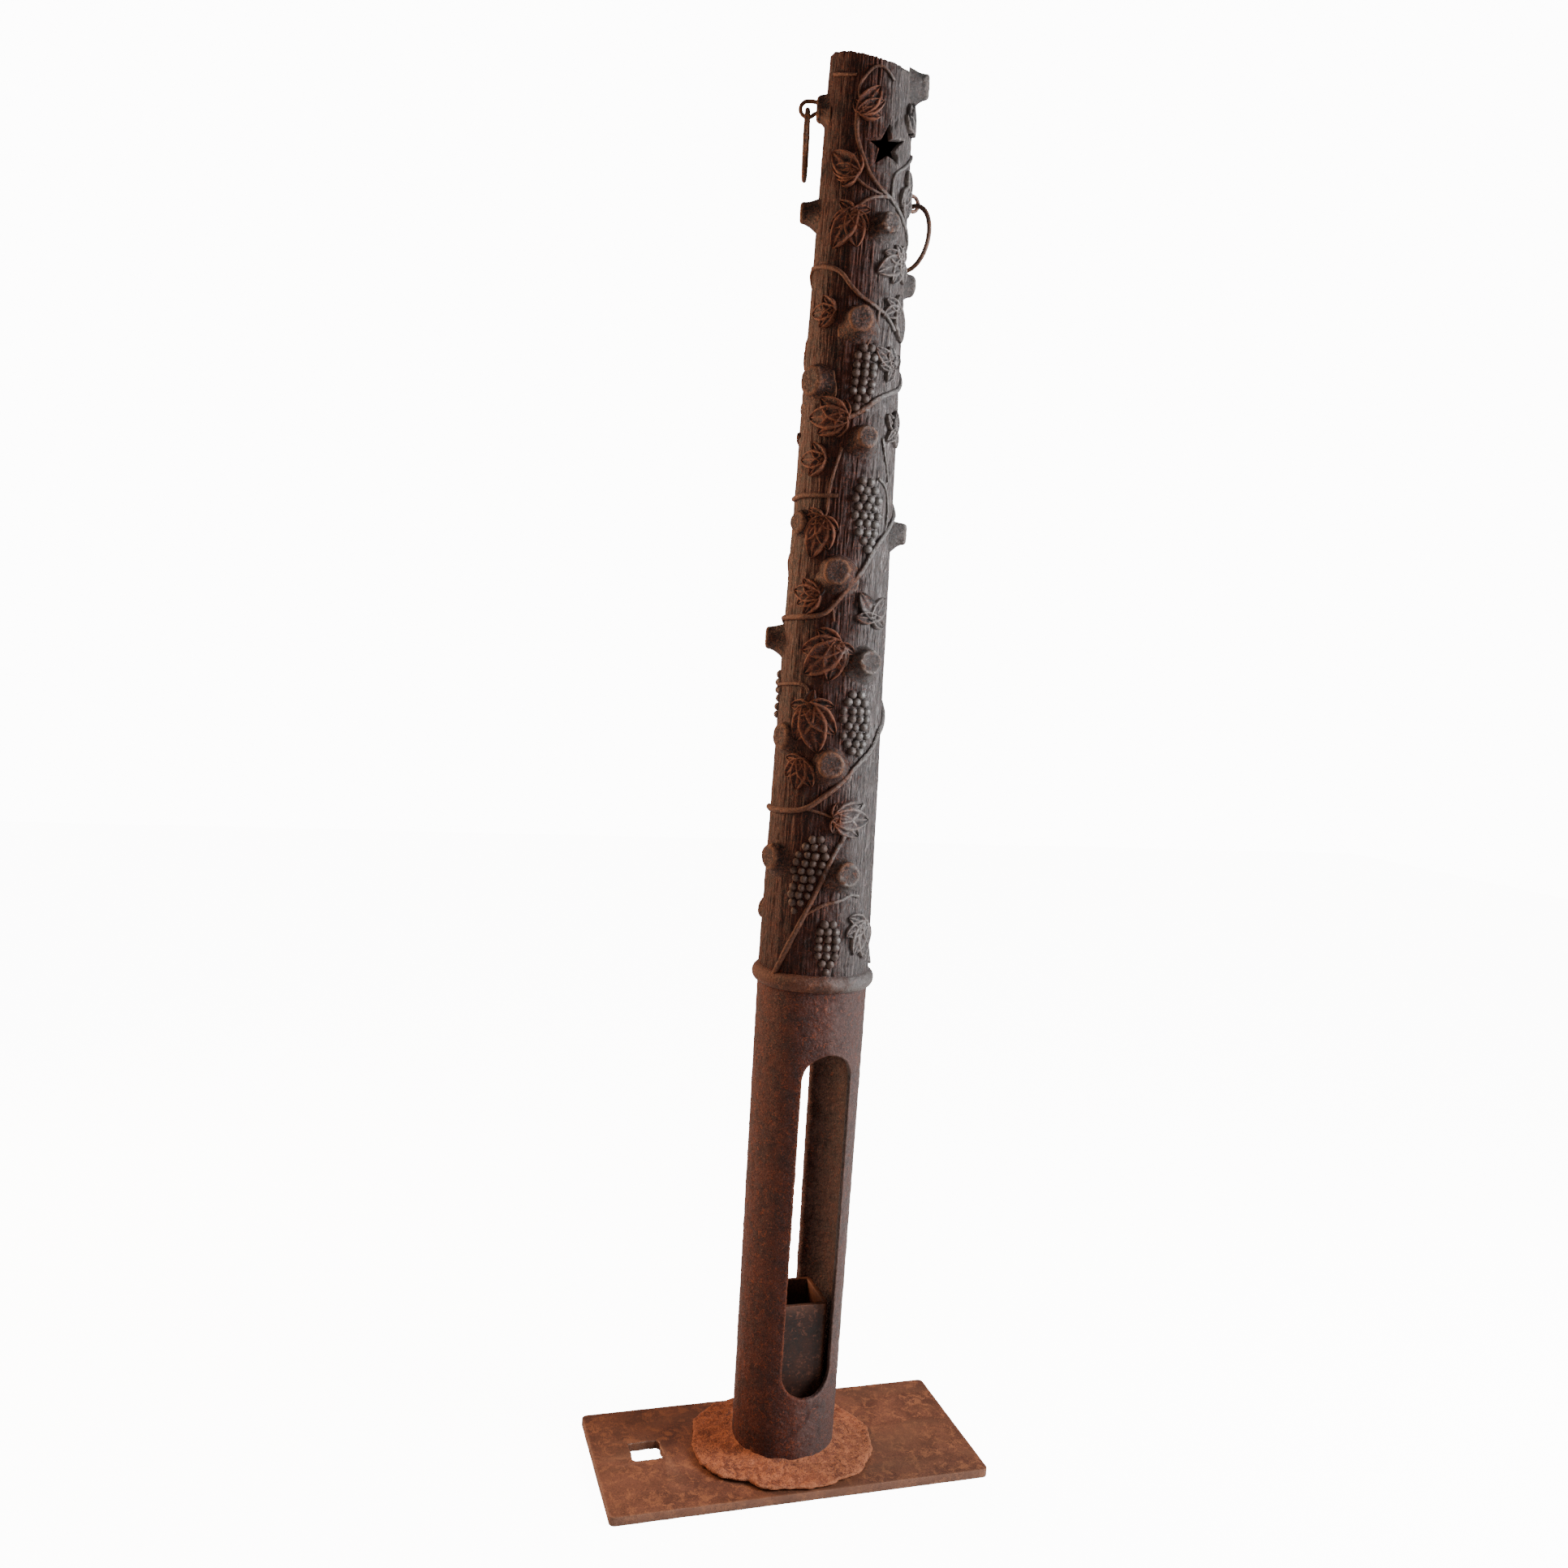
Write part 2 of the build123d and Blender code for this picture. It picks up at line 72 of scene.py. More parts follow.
def stand_camera():
    """Put the camera on its spot, turned and rolled as it was held."""
    lens = bpy.data.cameras.new("camera")
    lens.sensor_width = SENSOR_WIDTH
    lens.lens = CAMERA_LENS
    camera = bpy.data.objects.new("camera", lens)
    spot = outward(CAMERA_BEARING) * CAMERA_REACH + Vector((0, 0, CAMERA_HEIGHT))
    heading = Matrix.Rotation(math.radians(-CAMERA_HEADING), 4, "Z")
    pitch = Matrix.Rotation(math.radians(90 + CAMERA_PITCH), 4, "X")
    roll = Matrix.Rotation(math.radians(CAMERA_ROLL), 4, "Z")
    camera.matrix_world = Matrix.Translation(spot) @ heading @ pitch @ roll
    bpy.context.collection.objects.link(camera)
    bpy.context.scene.camera = camera


def studio_lamp(name, bearing, reach, height, size, watts, colour):
    """Square soft lamp aimed at the middle of the post."""
    lamp = bpy.data.lights.new(name, "AREA")
    lamp.size = size
    lamp.energy = watts
    lamp.color = colour
    holder = bpy.data.objects.new(name, lamp)
    spot = outward(bearing) * reach + Vector((0, 0, height))
    aim = Vector((0, 0, 0.9)) - spot
    holder.matrix_world = Matrix.Translation(spot) @ aim.to_track_quat("-Z", "Y").to_matrix().to_4x4()
    bpy.context.collection.objects.link(holder)


def lit_for_the_eye(tree, strength, light_given, light_seen):
    """Give a surface one brightness to look at and another as a source of light."""
    seen = tree.nodes.new("ShaderNodeLightPath").outputs["Is Camera Ray"]
    glow = tree.nodes.new("ShaderNodeMapRange")
    glow.inputs["To Min"].default_value = light_given
    glow.inputs["To Max"].default_value = light_seen
    tree.links.new(seen, glow.inputs["Value"])
    tree.links.new(glow.outputs["Result"], strength)


def pale_room():
    """Pale floor and an even pale surround."""
    sheet = bpy.data.meshes.new("floor")
    corners = [(-1, -1, 0), (1, -1, 0), (1, 1, 0), (-1, 1, 0)]
    sheet.from_pydata([Vector(corner) * FLOOR_HALF for corner in corners], [], [(0, 1, 2, 3)])
    floor = bpy.data.objects.new("floor", sheet)
    bpy.context.collection.objects.link(floor)
    paint = bpy.data.materials.new("floor_paint")
    paint.use_nodes = True
    shader = paint.node_tree.nodes["Principled BSDF"]
    shader.inputs["Base Color"].default_value = (0.7, 0.69, 0.68, 1)
    shader.inputs["Roughness"].default_value = 0.8
    shader.inputs["Emission Color"].default_value = (1, 0.99, 0.98, 1)
    lit_for_the_eye(paint.node_tree, shader.inputs["Emission Strength"], 0.0, FLOOR_SEEN)
    sheet.materials.append(paint)
    surround = bpy.data.worlds.new("surround")
    surround.use_nodes = True
    sky = surround.node_tree.nodes["Background"]
    sky.inputs["Color"].default_value = (1, 0.99, 0.98, 1)
    lit_for_the_eye(surround.node_tree, sky.inputs["Strength"], SURROUND_LIGHT, SURROUND_SEEN)
    bpy.context.scene.world = surround


stand_camera()
pale_room()
studio_lamp("cool_lamp", 58, 2.2, 1.5, 1.0, 150, (0.93, 0.97, 1.0))
studio_lamp("warm_lamp", -128, 2.0, 1.4, 1.0, 78, (1.0, 0.6, 0.36))
studio_lamp("front_lamp", -40, 2.8, 2.4, 1.6, 16, (1.0, 0.84, 0.7))


# -------------------------------------------------------------- base plate
# Length of hot-rolled flat steel bar, brown with old oil and handling. Its
# square hole was burnt through with a torch, so the hole's edge is uneven.

PLATE_CORNER = 0.007
PLATE_EDGE = 0.0012
PLATE_SUPPORT = 0.004
HOLE_LOW = (-0.195, -0.004)
HOLE_HIGH = (-0.155, 0.034)
HOLE_CORNER = 0.004
HOLE_RAGGED = 0.0007
OUTLINE_STEP = 0.003
MERGE_GAP = 0.00002
NUMBER = "NodeSocketFloat"
COLOUR = "NodeSocketColor"
SHAPE = "NodeSocketGeometry"


def ragged(turns, seed, lowest=2, highest=9):
    """Smooth closed wobble of about -1 to 1, at angles in radians."""
    dice = np.random.default_rng(seed)
    total = np.zeros(np.shape(turns))
    for wave in range(lowest, highest + 1):
        total = total + np.sin(wave * turns + dice.uniform(0, 2 * math.pi)) / math.sqrt(wave)
    return total / 1.6


def rounded_outline(low, high, corner):
    """Points round a rectangle with rounded corners, anticlockwise from above."""
    corners = [
        (high[0] - corner, low[1] + corner, -90), (high[0] - corner, high[1] - corner, 0),
        (low[0] + corner, high[1] - corner, 90), (low[0] + corner, low[1] + corner, 180),
    ]
    points = []
    for centre_x, centre_y, start in corners:
        for step in range(7):
            turn = math.radians(start + 15 * step)
            points.append((centre_x + corner * math.cos(turn), centre_y + corner * math.sin(turn)))
    dense = []
    for here, there in zip(points, points[1:] + points[:1]):
        count = max(1, round(math.dist(here, there) / OUTLINE_STEP))
        dense.extend(np.linspace(here, there, count, endpoint=False))
    return np.array(dense)


def shrunk(outline, inset):
    """Outline moved inwards by a distance."""
    along = np.roll(outline, -1, axis=0) - np.roll(outline, 1, axis=0)
    along /= np.linalg.norm(along, axis=1)[:, None]
    return outline + inset * np.column_stack([-along[:, 1], along[:, 0]])


def at_height(outline, height):
    """Flat outline lifted to a height."""
    return np.column_stack([outline, np.full(len(outline), height)])


def ring_faces(ring_count, size, joined=False):
    """Quads between rings of points, and from the last back to the first if joined."""
    faces = []
    for ring in range(ring_count if joined else ring_count - 1):
        low = ring * size
        high = (ring + 1) % ring_count * size
        for spot in range(size):
            after = (spot + 1) % size
            faces.append((low + spot, low + after, high + after, high + spot))
    return faces


def made_mesh(name, points, faces):
    """Closed piece from points and faces, merged and with its faces outwards."""
    mesh = bpy.data.meshes.new(name)
    mesh.from_pydata([tuple(point) for point in points], [], [tuple(face) for face in faces])
    work = bmesh.new()
    work.from_mesh(mesh)
    bmesh.ops.remove_doubles(work, verts=work.verts, dist=MERGE_GAP)
    bmesh.ops.recalc_face_normals(work, faces=work.faces)
    work.to_mesh(mesh)
    work.free()
    piece = bpy.data.objects.new(name, mesh)
    bpy.context.collection.objects.link(piece)
    return piece


def cut_away(piece, cutter):
    """Cut one closed shape out of another, and throw the cutter away."""
    cut = piece.modifiers.new("cut", "BOOLEAN")
    cut.solver = "EXACT"
    cut.object = cutter
    keep_result(piece)
    bpy.data.objects.remove(cutter)


def keep_result(piece):
    """Replace a piece's mesh by what its modifiers make of it."""
    bpy.context.view_layer.update()
    made = piece.evaluated_get(bpy.context.evaluated_depsgraph_get())
    piece.data = bpy.data.meshes.new_from_object(made)
    piece.modifiers.clear()


def place(tree, kind, feeds=None, **settings):
    """Add a node to a tree. feeds gives its inputs other nodes' outputs or plain values."""
    made = tree.nodes.new(kind)
    for name, value in settings.items():
        setattr(made, name, value)
    for key, feed in (feeds or {}).items():
        if isinstance(feed, bpy.types.NodeSocket):
            tree.links.new(feed, made.inputs[key])
        else:
            made.inputs[key].default_value = feed
    return made


def use_group(tree, group, feeds):
    """Add a shared group to a tree."""
    kind = "ShaderNodeGroup" if tree.bl_idname == "ShaderNodeTree" else "GeometryNodeGroup"
    return place(tree, kind, feeds, node_tree=group)


def new_group(name, kind, sockets):
    """Node tree with named sockets, given with its two ends."""
    tree = bpy.data.node_groups.new(name, kind)
    for way, label, socket_kind, value in sockets:
        socket = tree.interface.new_socket(name=label, in_out=way, socket_type=socket_kind)
        if value is not None:
            socket.default_value = value
    return tree, tree.nodes.new("NodeGroupInput"), tree.nodes.new("NodeGroupOutput")


def reckon(tree, operation, first, second=0.5):
    """One sum on two values."""
    return place(tree, "ShaderNodeMath", {0: first, 1: second}, operation=operation).outputs[0]


def mixed(tree, share, first, second, mode="MIX"):
    """Colour mixed from two others."""
    feeds = {0: share, 6: first, 7: second}
    return place(tree, "ShaderNodeMix", feeds, data_type="RGBA", blend_type=mode).outputs[2]


def eased(tree, value, low, high, to_low=0.0, to_high=1.0):
    """Value eased from one range to another."""
    feeds = {"Value": value, "From Min": low, "From Max": high, "To Min": to_low, "To Max": to_high}
    return place(tree, "ShaderNodeMapRange", feeds, interpolation_type="SMOOTHSTEP").outputs["Result"]


def cloud(tree, where, size, detail=4.0, roughness=0.6, warp=0.0):
    """Cloudy pattern with blobs of about a size."""
    scale = reckon(tree, "DIVIDE", 1.0, size)
    feeds = {"Vector": where, "Scale": scale, "Detail": detail, "Roughness": roughness, "Distortion": warp}
    return place(tree, "ShaderNodeTexNoise", feeds).outputs[0]


def rust_skin_group():
    """Three rust colours in drifting patches, broken up by a fine grain."""
    tree, start, end = new_group("rust_skin", "ShaderNodeTree", [
        ("INPUT", "Deep", COLOUR, None), ("INPUT", "Middle", COLOUR, None), ("INPUT", "Bright", COLOUR, None),
        ("INPUT", "Patch Size", NUMBER, 0.05), ("INPUT", "Grain Size", NUMBER, 0.001),
        ("INPUT", "Bright Share", NUMBER, 0.3),
        ("OUTPUT", "Colour", COLOUR, None), ("OUTPUT", "Grain", NUMBER, None), ("OUTPUT", "Bloom", NUMBER,
                                                                                None),
    ])
    where = place(tree, "ShaderNodeTexCoord").outputs["Object"]
    patches = cloud(tree, where, start.outputs["Patch Size"], 6.0, 0.62, 0.4)
    islands = cloud(tree, where, reckon(tree, "MULTIPLY", start.outputs["Patch Size"], 0.3), 5.0, 0.65, 0.8)
    grain = cloud(tree, where, start.outputs["Grain Size"], 3.0, 0.7)
    stir = reckon(tree, "MULTIPLY", reckon(tree, "SUBTRACT", grain, 0.5), 0.4)
    body = mixed(tree, eased(tree, reckon(tree, "ADD", patches, stir), 0.36, 0.62),
                 start.outputs["Deep"], start.outputs["Middle"])
    edge = reckon(tree, "SUBTRACT", 0.78, reckon(tree, "MULTIPLY", start.outputs["Bright Share"], 0.5))
    bloom = eased(tree, reckon(tree, "ADD", islands, stir), reckon(tree, "SUBTRACT", edge, 0.14), edge)
    rusty = mixed(tree, bloom, body, start.outputs["Bright"])
    shade = eased(tree, grain, 0.3, 0.7, 0.68, 1.25)
    tone = place(tree, "ShaderNodeCombineColor", {0: shade, 1: shade, 2: shade}).outputs[0]
    tree.links.new(mixed(tree, 1.0, rusty, tone, "MULTIPLY"), end.inputs["Colour"])
    tree.links.new(grain, end.inputs["Grain"])
    tree.links.new(bloom, end.inputs["Bloom"])
    return tree


def worn_crests_group():
    """Rubbed colour on ridges and rims, and dark dirt down in the hollows."""
    tree, start, end = new_group("worn_crests", "ShaderNodeTree", [
        ("INPUT", "Colour", COLOUR, None), ("INPUT", "Rubbed", COLOUR, None), ("INPUT", "Dirt", COLOUR, None),
        ("INPUT", "Rub", NUMBER, 0.6), ("INPUT", "Soil", NUMBER, 0.6),
        ("OUTPUT", "Colour", COLOUR, None), ("OUTPUT", "Crest", NUMBER, None),
    ])
    where = place(tree, "ShaderNodeTexCoord").outputs["Object"]
    point = place(tree, "ShaderNodeNewGeometry").outputs["Pointiness"]
    scuff = eased(tree, cloud(tree, where, 0.004, 4.0, 0.7), 0.3, 0.62, 0.35, 1.0)
    crest = reckon(tree, "MULTIPLY", eased(tree, point, 0.505, 0.56), scuff)
    crest = reckon(tree, "MULTIPLY", crest, start.outputs["Rub"])
    hollow = reckon(tree, "MULTIPLY", eased(tree, point, 0.495, 0.43), start.outputs["Soil"])
    soiled = mixed(tree, hollow, start.outputs["Colour"], start.outputs["Dirt"])
    tree.links.new(mixed(tree, crest, soiled, start.outputs["Rubbed"]), end.inputs["Colour"])
    tree.links.new(crest, end.inputs["Crest"])
    return tree


RUST_SKIN = rust_skin_group()
WORN_CRESTS = worn_crests_group()
SOOT = (0.006, 0.004, 0.003, 1)


def tint(red, green, blue):
    """Linear colour from the usual scale of 0 to 255."""
    shares = np.array([red, green, blue]) / 255
    return tuple(float(share) for share in shares ** 2.2) + (1.0,)


def new_finish(name):
    """Material, its tree and its shader."""
    finish = bpy.data.materials.new(name)
    finish.use_nodes = True
    return finish, finish.node_tree, finish.node_tree.nodes["Principled BSDF"]


def rusty_finish(tree, deep, middle, bright, patch, bright_share, grain=0.0012):
    """Shared rust pattern in a material's own colours."""
    return use_group(tree, RUST_SKIN, {
        "Deep": deep, "Middle": middle, "Bright": bright,
        "Patch Size": patch, "Grain Size": grain, "Bright Share": bright_share,
    }).outputs


def worn(tree, colour, rubbed, dirt, rub, soil):
    """Shared wear pattern in a material's own colours."""
    feeds = {"Colour": colour, "Rubbed": rubbed, "Dirt": dirt, "Rub": rub, "Soil": soil}
    return use_group(tree, WORN_CRESTS, feeds).outputs


def coat(tree, shader, colour, roughness, metallic, height, depth):
    """Feed a shader its colour, gloss, metal and relief."""
    tree.links.new(colour, shader.inputs["Base Color"])
    tree.links.new(roughness, shader.inputs["Roughness"])
    tree.links.new(metallic, shader.inputs["Metallic"])
    bump = place(tree, "ShaderNodeBump", {"Height": height, "Distance": depth, "Strength": 1.0})
    tree.links.new(bump.outputs["Normal"], shader.inputs["Normal"])


def plate_finish():
    """Brown mill scale with rubbed streaks along the bar and rust freckles."""
    finish, tree, shader = new_finish("plate_steel")
    skin = rusty_finish(tree, tint(78, 46, 34), tint(104, 64, 47), tint(124, 78, 54), 0.05, 0.3)
    where = place(tree, "ShaderNodeTexCoord").outputs["Object"]
    stretch = place(tree, "ShaderNodeMapping", {"Vector": where, "Scale": (9, 34, 34)}).outputs[0]
    streak = place(tree, "ShaderNodeTexNoise", {"Vector": stretch, "Scale": 1.0, "Detail": 5.0}).outputs[0]
    streaked = mixed(tree, eased(tree, streak, 0.45, 0.75, 0.0, 0.35), skin["Colour"], tint(120, 86, 68))
    aged = worn(tree, streaked, tint(128, 92, 72), SOOT, 0.6, 0.5)
    gloss = eased(tree, streak, 0.35, 0.7, 0.58, 0.42)
    metal = eased(tree, streak, 0.4, 0.75, 0.05, 0.3)
    coat(tree, shader, aged["Colour"], gloss, metal, skin["Grain"], 0.00025)
    return finish


def finish_off(piece, finish, slot, body, *nodes):
    """Give a piece its material, hide the parts it replaces and hang it from its body."""
    if finish is not None:
        piece.data.materials.clear()
        piece.data.materials.append(finish)
    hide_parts(*nodes)
    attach(piece, body)


def base_plate():
    """Flat bar with softened edges and a ragged square hole."""
    low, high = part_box("base_plate")
    outline = rounded_outline(low[:2], high[:2], PLATE_CORNER)
    turns = np.linspace(0, 2 * math.pi, len(outline), endpoint=False)
    dents = 0.0003 * np.abs(ragged(turns, 4, 9, 40))[:, None]
    rings = []
    for inset, height in [(PLATE_SUPPORT, 0), (PLATE_EDGE, 0), (0.0003, 0.0003), (0, PLATE_EDGE)]:
        rings.append(at_height(shrunk(outline, inset), low.z + height))
    for inset, height in [(0, PLATE_EDGE), (0.0003, 0.0003), (PLATE_EDGE, 0), (PLATE_SUPPORT, 0)]:
        rings.append(at_height(shrunk(outline, inset), high.z - height))
    for ring in rings[2:6]:
        ring[:, :2] += (shrunk(outline, 1) - outline) * dents
    size = len(outline)
    faces = ring_faces(len(rings), size)
    faces.append(range(size - 1, -1, -1))
    faces.append(range((len(rings) - 1) * size, len(rings) * size))
    plate = made_mesh("base_plate_steel", np.vstack(rings), faces)
    mouth = rounded_outline(HOLE_LOW, HOLE_HIGH, HOLE_CORNER)
    turns = np.linspace(0, 2 * math.pi, len(mouth), endpoint=False)
    bite = HOLE_RAGGED * ragged(turns, 8, 4, 24)[:, None] * (shrunk(mouth, 1) - mouth)
    levels = [(-0.0014, -0.001), (-0.0002, 0.0009), (0, 0.5 * high.z), (0.0002, high.z - 0.0011),
              (-0.0016, high.z + 0.001)]
    rings = [at_height(shrunk(mouth + bite, inset), height) for inset, height in levels]
    size = len(mouth)
    faces = ring_faces(len(rings), size)
    faces.append(range(size - 1, -1, -1))
    faces.append(range((len(rings) - 1) * size, len(rings) * size))
    cut_away(plate, made_mesh("hole", np.vstack(rings), faces))
    plate.data.shade_smooth()
    plate.data.set_sharp_from_angle(angle=math.radians(40))
    finish_off(plate, plate_finish(), "plate_steel", "stand", "base_plate")


base_plate()


# ------------------------------------------------------------- spigot tube
# Square mild-steel tube that stands on the plate inside the post and holds it
# upright. Its top was sawn square and left with a fine burr.

SPIGOT_CORNER = 0.008
SPIGOT_WALL = 0.006
SPIGOT_EDGE = 0.0006


def spigot_finish():
    """Dark oiled tube with paler rubbed corners."""
    finish, tree, shader = new_finish("mill_tube")
    skin = rusty_finish(tree, tint(24, 12, 8), tint(44, 21, 12), tint(78, 42, 25), 0.02, 0.2)
    aged = worn(tree, skin["Colour"], tint(112, 70, 50), SOOT, 0.8, 0.5)
    coat(tree, shader, aged["Colour"], eased(tree, skin["Grain"], 0.3, 0.7, 0.5, 0.66),
         eased(tree, skin["Bloom"], 0.0, 1.0, 0.3, 0.05), skin["Grain"], 0.0002)
    return finish


def spigot():
    """Tube wall as one ring of outlines: up the outside and down the inside."""
    low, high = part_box("spigot_tube")
    outer = rounded_outline(low[:2], high[:2], SPIGOT_CORNER)
    levels = [(0, low.z), (0, low.z + 0.05), (0, high.z - 0.02), (0, high.z - SPIGOT_EDGE),
              (SPIGOT_EDGE / 3, high.z - SPIGOT_EDGE / 3), (SPIGOT_EDGE, high.z),
              (SPIGOT_WALL - SPIGOT_EDGE, high.z), (SPIGOT_WALL, high.z - SPIGOT_EDGE),
              (SPIGOT_WALL, high.z - 0.02), (SPIGOT_WALL, low.z)]
    rings = [at_height(shrunk(outer, inset), height) for inset, height in levels]
    tube = made_mesh("spigot_steel", np.vstack(rings), ring_faces(len(rings), len(outer), joined=True))
    tube.data.shade_smooth()
    tube.data.set_sharp_from_angle(angle=math.radians(50))
    finish_off(tube, spigot_finish(), "mill_tube", "stand", "spigot_tube")


spigot()


# ------------------------------------------------------------- spigot weld
# Fillet weld that joins the spigot to the plate, laid in one pass by hand. It
# is a row of overlapping ripples, with bright spatter rubbed off its crown.

WELD_RIPPLE = 0.0022
WELD_SIZE = 0.0042
WELD_INSET = 0.0014


def shaping_tree(name, sizes):
    """Geometry tree that takes a mesh, a finish and named sizes."""
    sockets = [("INPUT", "Shape", SHAPE, None), ("INPUT", "Finish", "NodeSocketMaterial", None)]
    sockets += [("INPUT", label, NUMBER, value) for label, value in sizes.items()]
    sockets += [("OUTPUT", "Shape", SHAPE, None)]
    return new_group(name, "GeometryNodeTree", sockets)


def end_tree(tree, start, end, shape):
    """Close a geometry tree with real, smooth, coated geometry."""
    smooth = place(tree, "GeometryNodeSetShadeSmooth", {"Geometry": shape}).outputs[0]
    real = place(tree, "GeometryNodeRealizeInstances", {"Geometry": smooth}).outputs[0]
    coated = place(tree, "GeometryNodeSetMaterial", {"Geometry": real, "Material": start.outputs["Finish"]})
    tree.links.new(coated.outputs[0], end.inputs["Shape"])
    return tree


def press(piece, tree, finish, sizes=None):
    """Run a piece through a geometry tree and keep the plain mesh."""
    shaper = piece.modifiers.new("shaper", "NODES")
    shaper.node_group = tree
    wanted = {"Finish": finish, **(sizes or {})}
    for item in tree.interface.items_tree:
        if item.in_out == "INPUT" and item.name in wanted:
            shaper[item.identifier] = wanted[item.name]
    keep_result(piece)
    return piece


def line_piece(name, routes, marks=None):
    """Open lines of points, each with marks such as its thickness."""
    points = [tuple(point) for route in routes for point in route]
    edges = []
    first = 0
    for route in routes:
        edges += [(spot, spot + 1) for spot in range(first, first + len(route) - 1)]
        first += len(route)
    mesh = bpy.data.meshes.new(name)
    mesh.from_pydata(points, edges, [])
    for label, values in (marks or {}).items():
        layer = mesh.attributes.new(label, "FLOAT", "POINT")
        layer.data.foreach_set("value", np.array(values, np.float32))
    piece = bpy.data.objects.new(name, mesh)
    bpy.context.collection.objects.link(piece)
    return piece


def weld_tree():
    """Squashed drops of metal one after another along a path."""
    tree, start, end = shaping_tree("weld_ripples", {"Drop Radius": 0.004, "Uneven": 0.18})
    drop = place(tree, "GeometryNodeMeshIcoSphere",
                 {"Radius": start.outputs["Drop Radius"], "Subdivisions": 2})
    least = reckon(tree, "SUBTRACT", 1.0, start.outputs["Uneven"])
    most = reckon(tree, "ADD", 1.0, start.outputs["Uneven"])
    size = place(tree, "FunctionNodeRandomValue", {2: least, 3: most, "Seed": 5},
                 data_type="FLOAT").outputs[1]
    drops = place(tree, "GeometryNodeInstanceOnPoints", {
        "Points": start.outputs["Shape"], "Instance": drop.outputs["Mesh"], "Scale": size,
    })
    return end_tree(tree, start, end, drops.outputs[0])


def weld_finish():
    """Dull grey-brown weld metal with rubbed crowns."""
    finish, tree, shader = new_finish("weld")
    skin = rusty_finish(tree, tint(28, 16, 11), tint(48, 29, 20), tint(84, 52, 34), 0.008, 0.3, 0.0006)
    aged = worn(tree, skin["Colour"], tint(150, 122, 104), SOOT, 0.9, 0.7)
    coat(tree, shader, aged["Colour"], eased(tree, skin["Grain"], 0.3, 0.7, 0.4, 0.6),
         eased(tree, aged["Crest"], 0.0, 0.8, 0.35, 0.8), skin["Grain"], 0.0001)
    return finish


def weld():
    """Path just inside the weld's toe, with one drop at each step."""
    low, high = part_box("spigot_weld")
    path = shrunk(rounded_outline(low[:2], high[:2], SPIGOT_CORNER + WELD_INSET), WELD_SIZE)
    laps = np.vstack([path, path[:1]])
    gone = np.concatenate([[0], np.cumsum(np.linalg.norm(np.diff(laps, axis=0), axis=1))])
    steps = np.arange(0, gone[-1], WELD_RIPPLE)
    spots = np.column_stack([np.interp(steps, gone, laps[:, 0]), np.interp(steps, gone, laps[:, 1])])
    bead = line_piece("spigot_weld_bead", [at_height(spots, low.z + 0.0008)])
    press(bead, weld_tree(), weld_finish(), {"Drop Radius": WELD_SIZE})
    finish_off(bead, None, "weld", "stand", "spigot_weld")


weld()


# ------------------------------------------------------------- ground tube
# Lower part of the post, which stood in the ground. It is a thick grey-iron
# casting with two long cored windows, and it has rusted to red-brown scale.

TUBE_WALL = 0.0085
WINDOW_BEARING = 6.7
WINDOW_HALF = 0.0325
WINDOW_FOOT = 0.103
WINDOW_HEAD = 0.542
WINDOW_ROUNDING = 0.0028
TUBE_COLUMNS = 66
TUBE_ROW = 0.0032
ARC_STEPS = 14


def casting_group():
    """Uneven swelling and rust pits, as a geometry group."""
    tree, start, end = new_group("rough_casting", "GeometryNodeTree", [
        ("INPUT", "Shape", SHAPE, None), ("INPUT", "Swell", NUMBER, 0.0005), ("INPUT", "Swell Size",
                                                                              NUMBER, 0.02),
        ("INPUT", "Pit", NUMBER, 0.0004), ("INPUT", "Pit Size", NUMBER, 0.005), ("OUTPUT", "Shape", SHAPE,
                                                                                 None),
    ])
    where = place(tree, "GeometryNodeInputPosition").outputs[0]
    facing = place(tree, "GeometryNodeInputNormal").outputs[0]
    swell = cloud(tree, where, start.outputs["Swell Size"], 3.0)
    swell = reckon(tree, "MULTIPLY", reckon(tree, "SUBTRACT", swell, 0.5), start.outputs["Swell"])
    pit = eased(tree, cloud(tree, where, start.outputs["Pit Size"], 3.0, 0.7), 0.5, 0.72)
    pit = reckon(tree, "MULTIPLY", pit, start.outputs["Pit"])
    height = reckon(tree, "SUBTRACT", reckon(tree, "MULTIPLY", swell, 2.0), pit)
    push = place(tree, "ShaderNodeVectorMath", {0: facing, "Scale": height}, operation="SCALE").outputs[0]
    moved = place(tree, "GeometryNodeSetPosition", {"Geometry": start.outputs["Shape"], "Offset": push})
    tree.links.new(moved.outputs[0], end.inputs["Shape"])
    return tree


ROUGH_CASTING = casting_group()
CASTING_SIZES = {"Swell": 0.0005, "Swell Size": 0.02, "Pit": 0.0004, "Pit Size": 0.005}


def roughened(tree, start, shape):
    """Roughen a shape inside a geometry tree, by the tree's own sizes."""
    feeds = {label: start.outputs[label] for label in CASTING_SIZES}
    return use_group(tree, ROUGH_CASTING, {"Shape": shape, **feeds}).outputs[0]


def plain_casting_tree():
    """Any closed shape, roughened as a sand casting."""
    tree, start, end = shaping_tree("sand_casting", CASTING_SIZES)
    return end_tree(tree, start, end, roughened(tree, start, start.outputs["Shape"]))


SAND_CASTING = plain_casting_tree()


# Bearing of the side that gets the painted grey sheen, roughly towards the cool lamp. The bark's grooves are
# also deepest there.
PAINTED_SHEEN_BEARING = 75


